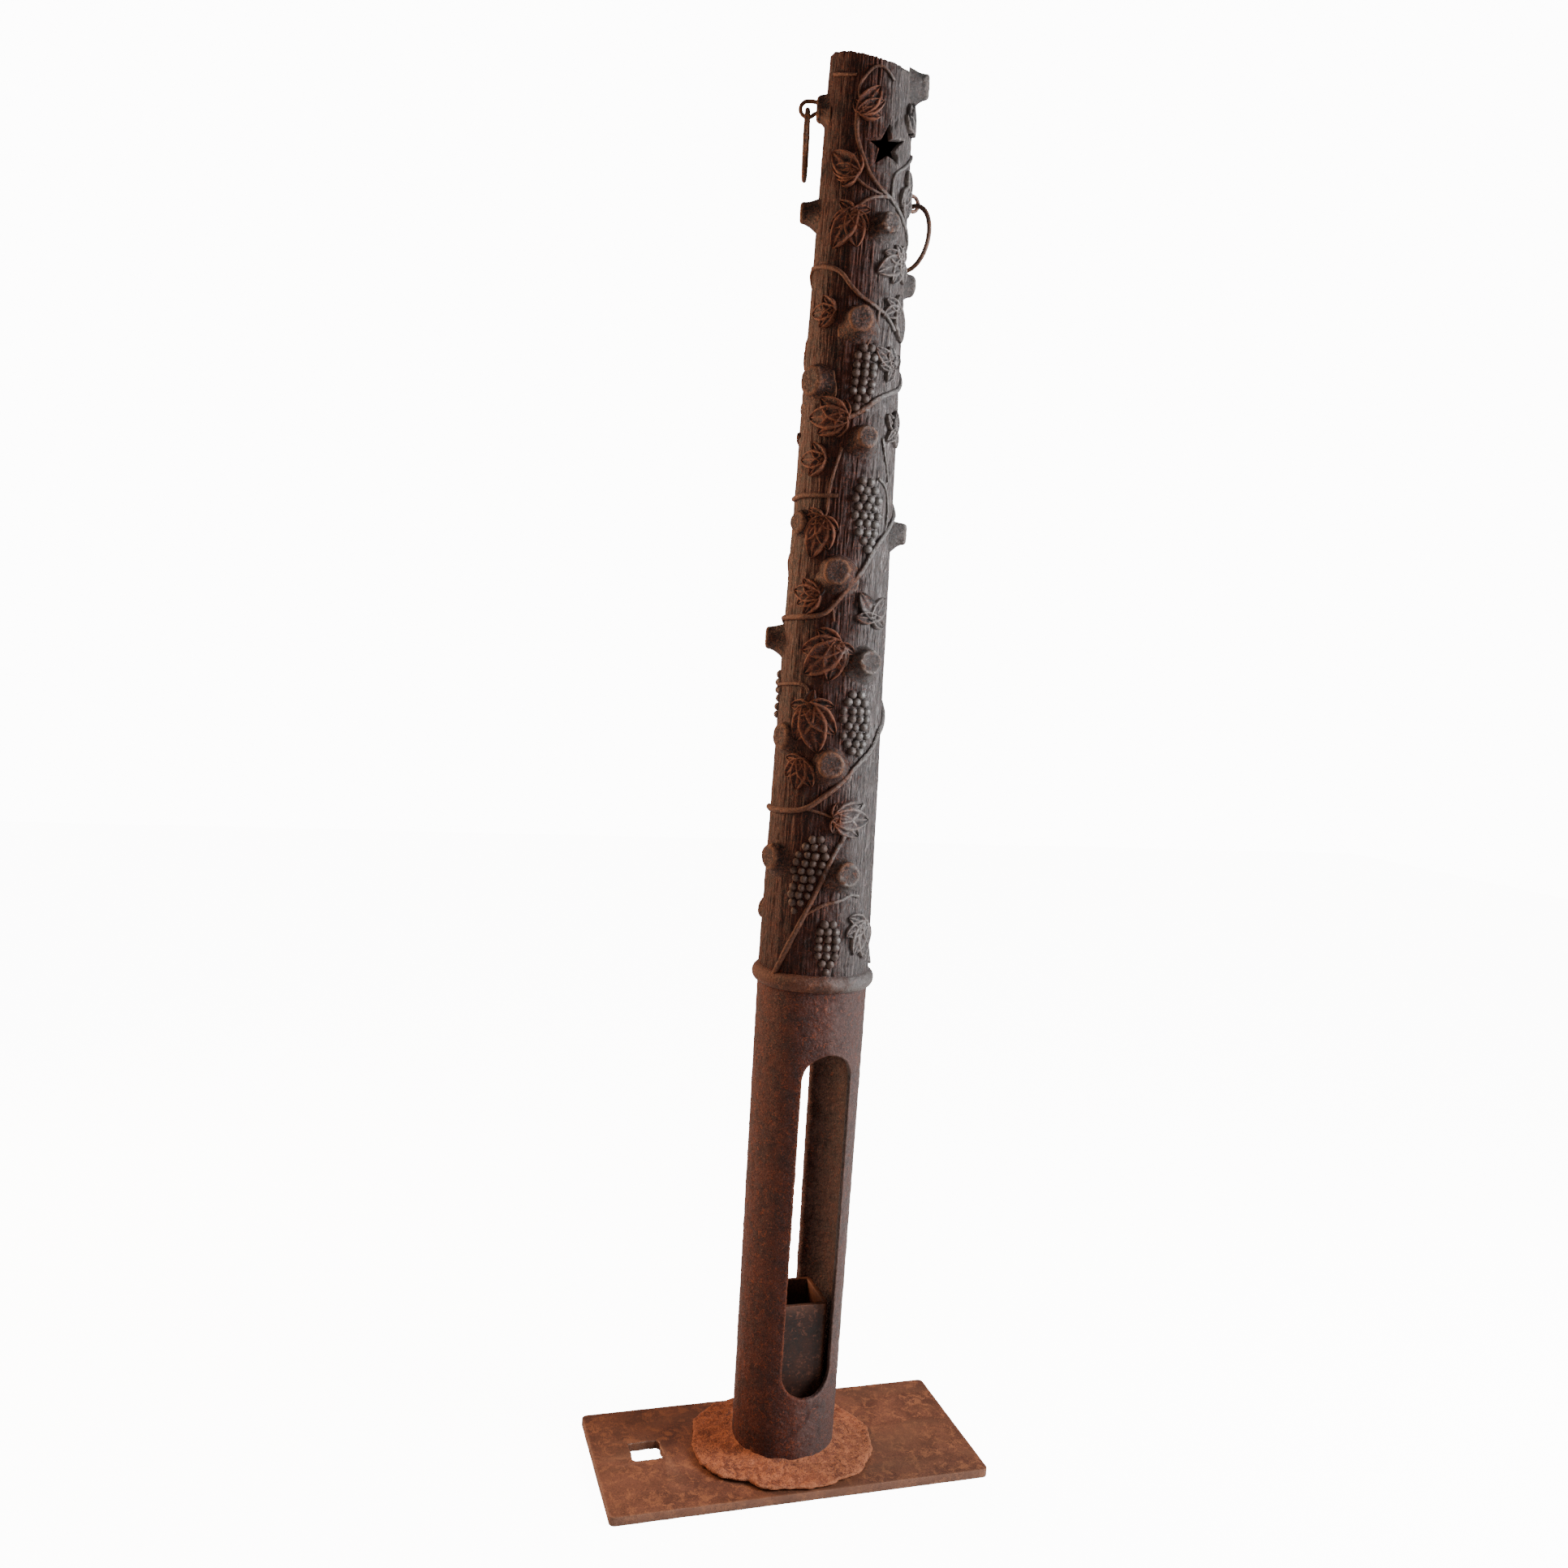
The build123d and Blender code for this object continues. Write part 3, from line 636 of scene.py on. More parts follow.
def painted_sheen_side_group():
    """Painted sheen: smoke-grey mixed into the colour on the side facing the cool lamp, in torn patches,
    standing in for that lamp's reflection.
    """
    tree, start, end = new_group("painted_sheen_side", "ShaderNodeTree", [
        ("INPUT", "Colour", COLOUR, None), ("INPUT", "Painted Sheen", COLOUR, None), ("INPUT", "Share", NUMBER, 0.8),
        ("INPUT", "Patch Size", NUMBER, 0.03),
        ("OUTPUT", "Colour", COLOUR, None), ("OUTPUT", "Painted Sheen", NUMBER, None),
    ])
    where = place(tree, "ShaderNodeTexCoord").outputs["Object"]
    flat = place(tree, "ShaderNodeVectorMath", {0: where, 1: (1, 1, 0)}, operation="MULTIPLY").outputs[0]
    away = place(tree, "ShaderNodeVectorMath", {0: flat}, operation="NORMALIZE").outputs[0]
    side = place(tree, "ShaderNodeVectorMath", {0: away, 1: outward(PAINTED_SHEEN_BEARING)}, operation="DOT_PRODUCT")
    torn = reckon(tree, "SUBTRACT", cloud(tree, where, start.outputs["Patch Size"], 7.0, 0.68, 0.5), 0.5)
    reach = reckon(tree, "ADD", side.outputs["Value"], reckon(tree, "MULTIPLY", torn, 1.7))
    # How much grey sheen is painted in: most on the side facing the cool lamp.
    share = reckon(tree, "MULTIPLY", eased(tree, reach, 0.05, 0.62), start.outputs["Share"])
    tree.links.new(mixed(tree, share, start.outputs["Colour"], start.outputs["Painted Sheen"]), end.inputs["Colour"])
    tree.links.new(share, end.inputs["Painted Sheen"])
    return tree


PAINTED_SHEEN_SIDE = painted_sheen_side_group()
# Painted sheen grey for the side facing the cool lamp, and a paler painted highlight grey for crests on that
# side.
PAINTED_SHEEN_GREY = tint(84, 82, 81)
PAINTED_CREST_HIGHLIGHT = tint(150, 148, 146)


def iron_finish(name, deep, middle, bright, rubbed, patch=0.03, bright_share=0.3, painted_sheen=0.6,
                rub=0.6, soil=0.7, grain=0.0014, relief=0.001, lump=0.004, upright=1.0):
    """Old grey iron: rust in patches, a painted grey sheen on the side facing the cool lamp, rubbed crests
    that turn to painted pale grey highlights on that side, and dirty hollows.
    """
    finish, tree, shader = new_finish(name)
    skin = rusty_finish(tree, deep, middle, bright, patch, bright_share, grain)
    # Mix the painted grey sheen into the rust on the side facing the cool lamp.
    feeds = {"Colour": skin["Colour"], "Painted Sheen": PAINTED_SHEEN_GREY, "Share": painted_sheen, "Patch Size": patch}
    sided = use_group(tree, PAINTED_SHEEN_SIDE, feeds).outputs
    # Crests on the sheen side get a painted pale grey highlight in place of their rubbed colour.
    crest = mixed(tree, sided["Painted Sheen"], rubbed, PAINTED_CREST_HIGHLIGHT)
    aged = worn(tree, sided["Colour"], crest, SOOT, rub, soil)
    shine = reckon(tree, "MULTIPLY", sided["Painted Sheen"], 0.25)
    gloss = reckon(tree, "SUBTRACT", eased(tree, skin["Grain"], 0.3, 0.7, 0.68, 0.46), shine)
    metal = reckon(tree, "ADD", reckon(tree, "MULTIPLY", sided["Painted Sheen"], 0.5),
                   reckon(tree, "MULTIPLY", aged["Crest"], 0.3))
    where = place(tree, "ShaderNodeTexCoord").outputs["Object"]
    stretch = place(tree, "ShaderNodeMapping", {"Vector": where, "Scale": (1, 1, upright)}).outputs[0]
    lumps = reckon(tree, "MULTIPLY", cloud(tree, stretch, lump, 5.0, 0.62), 1.6)
    height = reckon(tree, "ADD", reckon(tree, "MULTIPLY", skin["Grain"], 0.6), lumps)
    coat(tree, shader, aged["Colour"], gloss, metal, height, relief)
    shader.inputs["Specular IOR Level"].default_value = 0.32
    return finish


def tube_radius(height):
    """Outer radius of the tube at a height."""
    low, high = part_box("ground_tube")
    share = (height - low.z) / (high.z - low.z)
    return 0.065 + share * (high.y - 0.065)


def window_edge(grow):
    """Points up the right-hand edge of a window, as half width and height."""
    half = WINDOW_HALF + grow
    turns = np.linspace(-math.pi / 2, 0, ARC_STEPS)
    straight_low = WINDOW_FOOT + WINDOW_HALF
    straight_high = WINDOW_HEAD - WINDOW_HALF
    rows = math.ceil((straight_high - straight_low) / TUBE_ROW)
    foot = np.column_stack([half * np.cos(turns), straight_low + half * np.sin(turns)])
    head = np.column_stack([half * np.cos(turns), straight_high - half * np.sin(turns)])[::-1]
    sides = np.column_stack([np.full(rows, half), np.linspace(straight_low, straight_high, rows)])
    foot[0, 0] = 0
    head[-1, 0] = 0
    return np.vstack([foot[:-1], sides, head[1:]])


def tube_points(bearings, heights, depth):
    """Points at a depth below the tube's outer face, bearings measured from the window."""
    reach = tube_radius(heights) - depth
    turns = np.radians(bearings + WINDOW_BEARING)
    return np.column_stack([reach * np.sin(turns), -reach * np.cos(turns), heights])


def grid_faces(rows, columns, first):
    """Quads over a grid of points."""
    starts = [first + row * columns + spot for row in range(rows - 1) for spot in range(columns - 1)]
    return [(low, low + 1, low + 1 + columns, low + columns) for low in starts]


def ground_tube():
    """Wall in two halves between the windows, with a rounded strip round each window."""
    low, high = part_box("ground_tube")
    edge = window_edge(WINDOW_ROUNDING)
    below = np.arange(low.z, edge[0, 1] - TUBE_ROW / 2, TUBE_ROW)
    above = np.linspace(edge[-1, 1], high.z, 28)[1:]
    halves = np.concatenate([np.zeros(len(below)), edge[:, 0], np.zeros(len(above))])
    heights = np.concatenate([below, edge[:, 1], above])
    shares = np.linspace(0, 1, TUBE_COLUMNS)
    points = []
    faces = []
    for side in (1, -1):
        for depth in (0, TUBE_WALL):
            first = len(points)
            for half, height in zip(halves, heights):
                start = math.degrees(math.asin(half / (tube_radius(height) - depth)))
                bearings = side * (start + shares * (180 - 2 * start))
                points.extend(tube_points(bearings, np.full(TUBE_COLUMNS, height), depth))
            faces += grid_faces(len(heights), TUBE_COLUMNS, first)
        for row in (0, len(heights) - 1):
            outer = first - len(heights) * TUBE_COLUMNS + row * TUBE_COLUMNS
            inner = first + row * TUBE_COLUMNS
            faces += [(outer + spot, outer + spot + 1, inner + spot + 1, inner + spot)
                      for spot in range(TUBE_COLUMNS - 1)]
    corner = np.radians(np.linspace(0, 90, 5))
    grows = WINDOW_ROUNDING * (1 - np.sin(corner))
    depths = WINDOW_ROUNDING * (1 - np.cos(corner))
    section = list(zip(grows, depths)) + [(0, TUBE_WALL / 2)] + list(zip(grows[::-1],
                                                                         TUBE_WALL - depths[::-1]))
    for way in (0, 180):
        for side in (1, -1):
            first = len(points)
            for grow, depth in section:
                half, height = window_edge(grow).T
                bearings = np.degrees(np.arcsin(half / (tube_radius(height) - depth)))
                points.extend(tube_points(way + side * bearings, height, depth))
            faces += grid_faces(len(section), len(edge), first)
    tube = made_mesh("ground_tube_iron", points, faces)
    rust = iron_finish("tube_iron", tint(52, 20, 9), tint(76, 32, 14), tint(106, 49, 21), tint(112, 58, 32),
                       patch=0.02, bright_share=0.2, painted_sheen=0.4, soil=0.4, relief=0.0024, lump=0.006)
    press(tube, SAND_CASTING, rust, {"Swell": 0.0011, "Swell Size": 0.011, "Pit": 0.0007, "Pit Size": 0.006})
    finish_off(tube, None, "tube_iron", "post", "ground_tube")


ground_tube()


# ------------------------------------------------------------- foot flange
# Disc cast with the tube that spread the post's load in the ground. Its rim is
# broken and scaled away unevenly, and a crust of rust stands on its top.

FLANGE_STEP = 30
FLANGE_RADII = [0.106, 0.113, 0.118, 0.115, 0.113, 0.106, 0.104, 0.111, 0.117, 0.119, 0.118, 0.109]
FLANGE_COLUMNS = 240
FLANGE_UNDERSIDE = [(0.0, 0.0), (0.55, 0.0), (0.8, 0.0012), (0.95, 0.0022), (0.99, 0.003)]
FLANGE_TOPSIDE = [(1.0, 0.0045), (0.99, 0.0064), (0.95, 0.0072), (0.85, 0.0078), (0.74, 0.0082),
                  (0.62, 0.009),
                  (0.5, 0.0098), (0.4, 0.0108), (0.3, 0.0118), (0.2, 0.0132), (0.1, 0.0152), (0.0, 0.0185)]


def foot_flange():
    """Rings from the tube's wall out along the underside and back over the top."""
    low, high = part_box("foot_flange")
    turns = np.linspace(0, 2 * math.pi, FLANGE_COLUMNS, endpoint=False)
    marks = np.arange(0, 360 + FLANGE_STEP, FLANGE_STEP)
    around = np.array(FLANGE_RADII + FLANGE_RADII[:1])
    soft = np.interp(np.degrees(turns), marks, around)
    rim = soft + 0.0026 * ragged(turns, 11, 5, 16) + 0.0011 * ragged(turns, 12, 20, 60)
    bite = np.clip(1 - np.abs((np.degrees(turns) - 318) / 13), 0, 1)
    rim -= 0.005 * bite ** 0.6
    bore = tube_radius(low.z) - 0.004
    rings = []
    for number, (share, rise) in enumerate(FLANGE_UNDERSIDE + FLANGE_TOPSIDE):
        reach = bore + share * (rim - bore)
        uneven = 0.0011 if number >= len(FLANGE_UNDERSIDE) else 0
        heights = low.z + rise + uneven * ragged(turns, 20 + number, 3, 24)
        rings.append(np.column_stack([reach * np.sin(turns), -reach * np.cos(turns), heights]))
    disc = made_mesh("foot_flange_iron", np.vstack(rings),
                     ring_faces(len(rings), FLANGE_COLUMNS, joined=True))
    rust = iron_finish("flange_rust", tint(100, 54, 36), tint(134, 76, 51), tint(160, 94, 62),
                       tint(164, 104, 74),
                       patch=0.03, bright_share=0.4, painted_sheen=0.0, soil=0.5, relief=0.0034, lump=0.011)
    press(disc, SAND_CASTING, rust, {"Swell": 0.0009, "Swell Size": 0.008, "Pit": 0.0009, "Pit Size": 0.005})
    finish_off(disc, None, "flange_rust", "post", "foot_flange")


foot_flange()


# ------------------------------------------------------------- collar bead
# Half-round bead cast where the trunk stops and the ground tube begins. It
# stood at ground level, so it is rubbed smooth and brown with rust.

BEAD_SECTION = 0.011
BEAD_COLUMNS = 220
BEAD_STEPS = 22


def collar_bead():
    """Round section turned about the post's axis."""
    low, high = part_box("collar_bead")
    middle = high.x - BEAD_SECTION
    turns = np.linspace(0, 2 * math.pi, BEAD_COLUMNS, endpoint=False)
    rings = []
    for step in range(BEAD_STEPS):
        angle = 2 * math.pi * step / BEAD_STEPS
        reach = middle + (BEAD_SECTION + 0.0003 * ragged(turns, 31, 3, 12)) * math.cos(angle)
        height = (low.z + high.z) / 2 + BEAD_SECTION * math.sin(angle) + 0.0005 * ragged(turns, 32, 2, 7)
        rings.append(np.column_stack([reach * np.sin(turns), -reach * np.cos(turns), height]))
    bead = made_mesh("collar_bead_iron", np.vstack(rings), ring_faces(BEAD_STEPS, BEAD_COLUMNS, joined=True))
    rust = iron_finish("bead_iron", tint(42, 21, 13), tint(72, 37, 23), tint(102, 58, 38), tint(128, 84, 60),
                       patch=0.03, bright_share=0.2, painted_sheen=0.75, relief=0.0014)
    press(bead, SAND_CASTING, rust, {"Swell": 0.0004, "Swell Size": 0.012, "Pit": 0.0003, "Pit Size": 0.004})
    finish_off(bead, None, "bead_iron", "post", "collar_bead")


collar_bead()


# ------------------------------------------------------------- trunk shell
# Hollow trunk, cast in grey iron in a carved mould: fine upright bark, a top
# sawn on the slant and a ragged star let through the wall near the top.

TRUNK_MARKS = [0.63, 1.09, 1.42, 1.73]
TRUNK_REACHES = [0.069, 0.0622, 0.0565, 0.0502]
TRUNK_WALL = 0.008
TRUNK_COLUMNS = 396
TRUNK_ROWS = 196
TOP_MIDDLE = 1.7248
TOP_SLOPE = 15
TOP_LOW_BEARING = 32
TOP_ROUNDING = 0.004
TOP_MARGIN = 0.012
TILT_START = 1.6
TILT_END = 1.7
STAR_BEARING = 7.7
STAR_HEIGHT = 1.617
STAR_OUTLINE = [
    (0.0015, 0.025), (0.005, 0.009), (0.024, 0.012), (0.011, -0.002), (0.018, -0.016),
    (0.001, -0.010), (-0.014, -0.021), (-0.010, -0.004), (-0.024, 0.005), (-0.007, 0.008),
]


def trunk_reach(height):
    """Radius of the bare trunk at a height, carried on in line past its top."""
    past = np.maximum(np.asarray(height) - TRUNK_MARKS[-1], 0)
    slope = (TRUNK_REACHES[-1] - TRUNK_REACHES[-2]) / (TRUNK_MARKS[-1] - TRUNK_MARKS[-2])
    return np.interp(height, TRUNK_MARKS, TRUNK_REACHES) + slope * past


def round_trunk(bearings, heights, stand_off):
    """Points on the trunk at bearings in degrees, or a little off it."""
    reach = trunk_reach(heights) + stand_off
    turns = np.radians(bearings)
    return np.column_stack([reach * np.sin(turns), -reach * np.cos(turns), heights + 0 * turns])


def bark_tree():
    """Fine upright grooves and broad soft ridges, deepest on the side that also gets the painted sheen."""
    tree, start, end = shaping_tree("bark", {
        "Groove": 0.0019, "Groove Count": 27.0, "Ridge": 0.0021, "Ridge Count": 6.0, **CASTING_SIZES,
    })
    where = place(tree, "GeometryNodeInputPosition").outputs[0]
    facing = place(tree, "GeometryNodeInputNormal").outputs[0]
    flat = place(tree, "ShaderNodeVectorMath", {0: where, 1: (1, 1, 0)}, operation="MULTIPLY").outputs[0]
    away = place(tree, "ShaderNodeVectorMath", {0: flat}, operation="NORMALIZE").outputs[0]
    parts = place(tree, "ShaderNodeSeparateXYZ", {0: away}).outputs
    height = place(tree, "ShaderNodeSeparateXYZ", {0: where}).outputs["Z"]

    def upright(count, along, detail, warp):
        """Noise that runs up the trunk, with a number of cells to the radian."""
        feeds = {
            "X": reckon(tree, "MULTIPLY", parts["X"], count), "Y": reckon(tree, "MULTIPLY", parts["Y"],
                                                                          count),
            "Z": reckon(tree, "MULTIPLY", height, along),
        }
        spot = place(tree, "ShaderNodeCombineXYZ", feeds).outputs[0]
        return place(tree, "ShaderNodeTexNoise", {
            "Vector": spot, "Scale": 1.0, "Detail": detail, "Roughness": 0.55, "Distortion": warp,
        }).outputs[0]

    fine = upright(start.outputs["Groove Count"], 14.0, 2.0, 0.5)
    cleft = reckon(tree, "ABSOLUTE", reckon(tree, "SUBTRACT", fine, 0.5))
    cleft = eased(tree, cleft, 0.0, 0.07, 1.0, 0.0)
    broad = reckon(tree, "SUBTRACT", upright(start.outputs["Ridge Count"], 5.0, 3.0, 0.3), 0.5)
    side = place(tree, "ShaderNodeVectorMath", {0: away, 1: outward(PAINTED_SHEEN_BEARING)}, operation="DOT_PRODUCT")
    depth = eased(tree, side.outputs["Value"], -0.6, 0.8, 0.45, 1.0)
    sunk = reckon(tree, "MULTIPLY", reckon(tree, "MULTIPLY", cleft, start.outputs["Groove"]), depth)
    raised = reckon(tree, "MULTIPLY", reckon(tree, "MULTIPLY", broad, 2.0), start.outputs["Ridge"])
    level = reckon(tree, "SUBTRACT", raised, sunk)
    outside = place(tree, "GeometryNodeInputNamedAttribute", {"Name": "outside"},
                    data_type="FLOAT").outputs[0]
    push = place(tree, "ShaderNodeVectorMath", {0: facing, "Scale": reckon(tree, "MULTIPLY", level, outside)},
                 operation="SCALE").outputs[0]
    moved = place(tree, "GeometryNodeSetPosition",
                  {"Geometry": start.outputs["Shape"], "Offset": push}).outputs[0]
    return end_tree(tree, start, end, roughened(tree, start, moved))


def trunk_profile():
    """Radius, height and outside mark of each ring, from the core's roof round to the top's middle."""
    shoulder = TOP_MIDDLE - TOP_ROUNDING
    roof = TOP_MIDDLE - TRUNK_WALL
    inner = [(0, roof, 0), (0.02, roof, 0), (0.036, roof, 0)]
    inner += [(trunk_reach(height) - TRUNK_WALL, height, 0) for height in np.linspace(roof, 0.632, 14)]
    outer = [(trunk_reach(height), height, 1) for height in np.linspace(0.6305, shoulder, TRUNK_ROWS)]
    reach = trunk_reach(shoulder) - TOP_ROUNDING
    bends = np.radians(np.linspace(0, 90, 6))[1:]
    rounded = [(reach + TOP_ROUNDING * math.cos(bend), shoulder + TOP_ROUNDING * math.sin(bend),
                1) for bend in bends]
    top = [(share * reach, TOP_MIDDLE, 0.6) for share in (0.93, 0.84, 0.72, 0.6, 0.46, 0.32, 0.18, 0.08, 0)]
    return inner + outer + rounded + top


def tilted(points):
    """Lean the trunk's end over to its low side."""
    low = np.array(outward(TOP_LOW_BEARING))
    share = np.clip((points[:, 2] - TILT_START) / (TILT_END - TILT_START), 0, 1)
    points[:, 2] -= math.tan(math.radians(TOP_SLOPE)) * share * share * (3 - 2 * share) * (points @ low)
    return points


def star_cutter():
    """Star that follows the trunk's curve, with its mouth flared like a chipped edge."""
    corners = STAR_OUTLINE + STAR_OUTLINE[:1]
    rim = np.vstack([np.linspace(here, there, 5, endpoint=False) for here,
                     there in zip(corners, corners[1:])])
    turns = np.linspace(0, 2 * math.pi, len(rim), endpoint=False)
    rings = []
    for stand_off, grow in [(-0.014, 0.98), (-0.0035, 1.0), (-0.0012, 1.06), (0.0004, 1.15), (0.006, 1.5)]:
        spread = rim * (grow + 0.02 * ragged(turns, 41, 6, 20))[:, None]
        heights = STAR_HEIGHT + spread[:, 1]
        bearings = STAR_BEARING + np.degrees(spread[:, 0] / trunk_reach(heights))
        rings.append(round_trunk(bearings, heights, stand_off))
    size = len(rim)
    caps = [range(size), range((len(rings) - 1) * size, len(rings) * size)]
    return made_mesh("star", np.vstack(rings), ring_faces(len(rings), size) + caps)


def trunk_finish():
    """Dark iron bark with pale rubbed ridges and earth-brown hollows."""
    return iron_finish("trunk_iron", tint(36, 15, 9), tint(64, 29, 18), tint(88, 43, 25), tint(126, 72, 47),
                       patch=0.016, bright_share=0.2, painted_sheen=0.7, rub=0.6, soil=0.7, relief=0.0026,
                       lump=0.0034, upright=0.14)


def trunk_shell():
    """Closed shell turned about the post's axis, leant over, barked and pierced."""
    profile = trunk_profile()
    turns = np.linspace(0, 2 * math.pi, TRUNK_COLUMNS, endpoint=False)
    rings = [np.column_stack([reach * np.sin(turns), -reach * np.cos(turns), np.full(TRUNK_COLUMNS, height)])
             for reach, height, outside in profile]
    points = tilted(np.vstack(rings))
    trunk = made_mesh("trunk_iron_shell", points, ring_faces(len(profile), TRUNK_COLUMNS))
    flat = np.array([vertex.co for vertex in trunk.data.vertices])
    reach = np.hypot(flat[:, 0], flat[:, 1])
    near_wall = reach > trunk_reach(flat[:, 2]) - TRUNK_WALL / 2
    near_top = flat[:, 2] > TOP_MIDDLE - TRUNK_WALL / 2 - TOP_MARGIN
    outside = near_wall | near_top
    layer = trunk.data.attributes.new("outside", "FLOAT", "POINT")
    layer.data.foreach_set("value", outside.astype(np.float32))
    press(trunk, bark_tree(), trunk_finish(), {
        "Swell": 0.0008, "Swell Size": 0.01, "Pit": 0.0008, "Pit Size": 0.005,
    })
    cut_away(trunk, star_cutter())
    finish_off(trunk, None, "trunk_iron", "post", "trunk_shell")


trunk_shell()


# ------------------------------------------------------------ branch stubs
# Stumps of sawn-off branches, cast with the trunk. Each one swells out at its
# root, most of all on its underside, and its sawn end is rough and dished.

STUB_COLUMNS = 52
STUB_ROOT_DEPTH = 0.006
STUB_FLARE = 1.35
STUB_TOP_FLARE = 0.5
STUB_EDGE = 0.004
STUB_DISH = 0.0007
STUB_DISH_ROUGH = 0.0005
STUB_FLARE_FALL = 1.7
STUB_OVAL = 0.035
STUB_BARK = 0.018
STUB_WOBBLE = 0.02
KNOBBLY = 2.4


def stub_measures(node):
    """Bearing, height, end radius and reach of a stub, from its end face."""
    corners = np.array([vertex.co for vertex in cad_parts[node].data.vertices])
    reach = np.hypot(corners[:, 0], corners[:, 1])
    tip = corners[reach > reach.max() - 0.003].mean(axis=0)
    away = np.array([tip[0], tip[1], 0]) / math.hypot(tip[0], tip[1])
    for repeat in range(3):
        level = corners @ away
        end = corners[level > level.max() - 0.0004]
        middle = (end.min(axis=0) + end.max(axis=0)) / 2
        away = np.array([middle[0], middle[1], 0]) / math.hypot(middle[0], middle[1])
    bearing = math.degrees(math.atan2(away[0], -away[1]))
    radius = (end[:, 2].max() - end[:, 2].min()) / 2
    return bearing, middle[2], radius, level.max()


def stub_finish(name, dark):
    """Cast stump, rubbed pale on its rim and end."""
    return iron_finish(name, tint(34, 20, 15), tint(62, 36, 27), tint(94, 55, 37), tint(130, 88, 64),
                       patch=0.012, bright_share=0.3, painted_sheen=0.75, rub=0.8, soil=dark, relief=0.0026)


def branch_stub(node, slot, finish, seed, lumps=1.0):
    """Rings from inside the trunk out along the stump and in over its end."""
    bearing, height, radius, reach = stub_measures(node)
    away = np.array(outward(bearing))
    right = np.array(outward(bearing + 90))
    up = np.array([0, 0, 1])
    turns = np.linspace(0, 2 * math.pi, STUB_COLUMNS, endpoint=False)
    down = np.clip(-np.sin(turns), 0, 1)
    surface = float(trunk_reach(height))
    root = surface - STUB_ROOT_DEPTH
    outline = 1 + lumps * (STUB_OVAL * ragged(turns, seed, 2, 5) + STUB_BARK * ragged(turns, seed + 50, 7,
                                                                                      15))
    rings = [np.tile(away * root + up * height, (STUB_COLUMNS, 1))]
    for share in np.linspace(0, 1, 15):
        depth = root + share * (reach - STUB_EDGE - root)
        spread = (1 - share) ** STUB_FLARE_FALL * (STUB_TOP_FLARE + (STUB_FLARE - STUB_TOP_FLARE) * down)
        wobble = lumps * STUB_WOBBLE * ragged(turns + share, seed + 7, 3, 8)
        rings.append((radius * (outline * (1 + spread) + wobble), depth))
    for bend in np.radians((30, 60, 90)):
        inset = STUB_EDGE * (1 - math.cos(bend))
        rings.append((radius * outline - inset, reach - STUB_EDGE * (1 - math.sin(bend))))
    for share in (0.82, 0.62, 0.42, 0.2, 0):
        rough = ragged(turns, seed + 90 + round(10 * share), 2, 9)
        dish = STUB_DISH * (1 - share) + STUB_DISH_ROUGH * lumps * share * rough
        rings.append((share * (radius * outline - STUB_EDGE), reach - dish))
    points = [rings[0]]
    for spread, depth in rings[1:]:
        spot = np.outer(spread * np.cos(turns), right) + np.outer(spread * np.sin(turns), up)
        points.append(spot + up * height + np.outer(np.broadcast_to(depth, STUB_COLUMNS), away))
    stump = made_mesh(node + "_iron", np.vstack(points), ring_faces(len(points), STUB_COLUMNS))
    press(stump, SAND_CASTING, finish, {
        "Swell": 0.0006 * lumps, "Swell Size": 0.007, "Pit": 0.0006, "Pit Size": 0.0035,
    })
    finish_off(stump, None, slot, "post", node)


STUB_IRON = stub_finish("stub_iron", 0.8)
for number in range(1, 25):
    branch_stub(f"branch_stub_{number:02d}", "stub_iron", STUB_IRON, number, KNOBBLY if number == 3 else 1.0)
for side, seed in (("left", 61), ("right", 67)):
    branch_stub("eye_stub_" + side, "stub_iron", STUB_IRON, seed, KNOBBLY)


# --------------------------------------------------------------- vine stems
# Grapevine stems cast in half relief: they climb round the trunk, fork, and
# end in fine tendrils. Each line gives a stem's radius, then the bearing and
# the height of points along it.

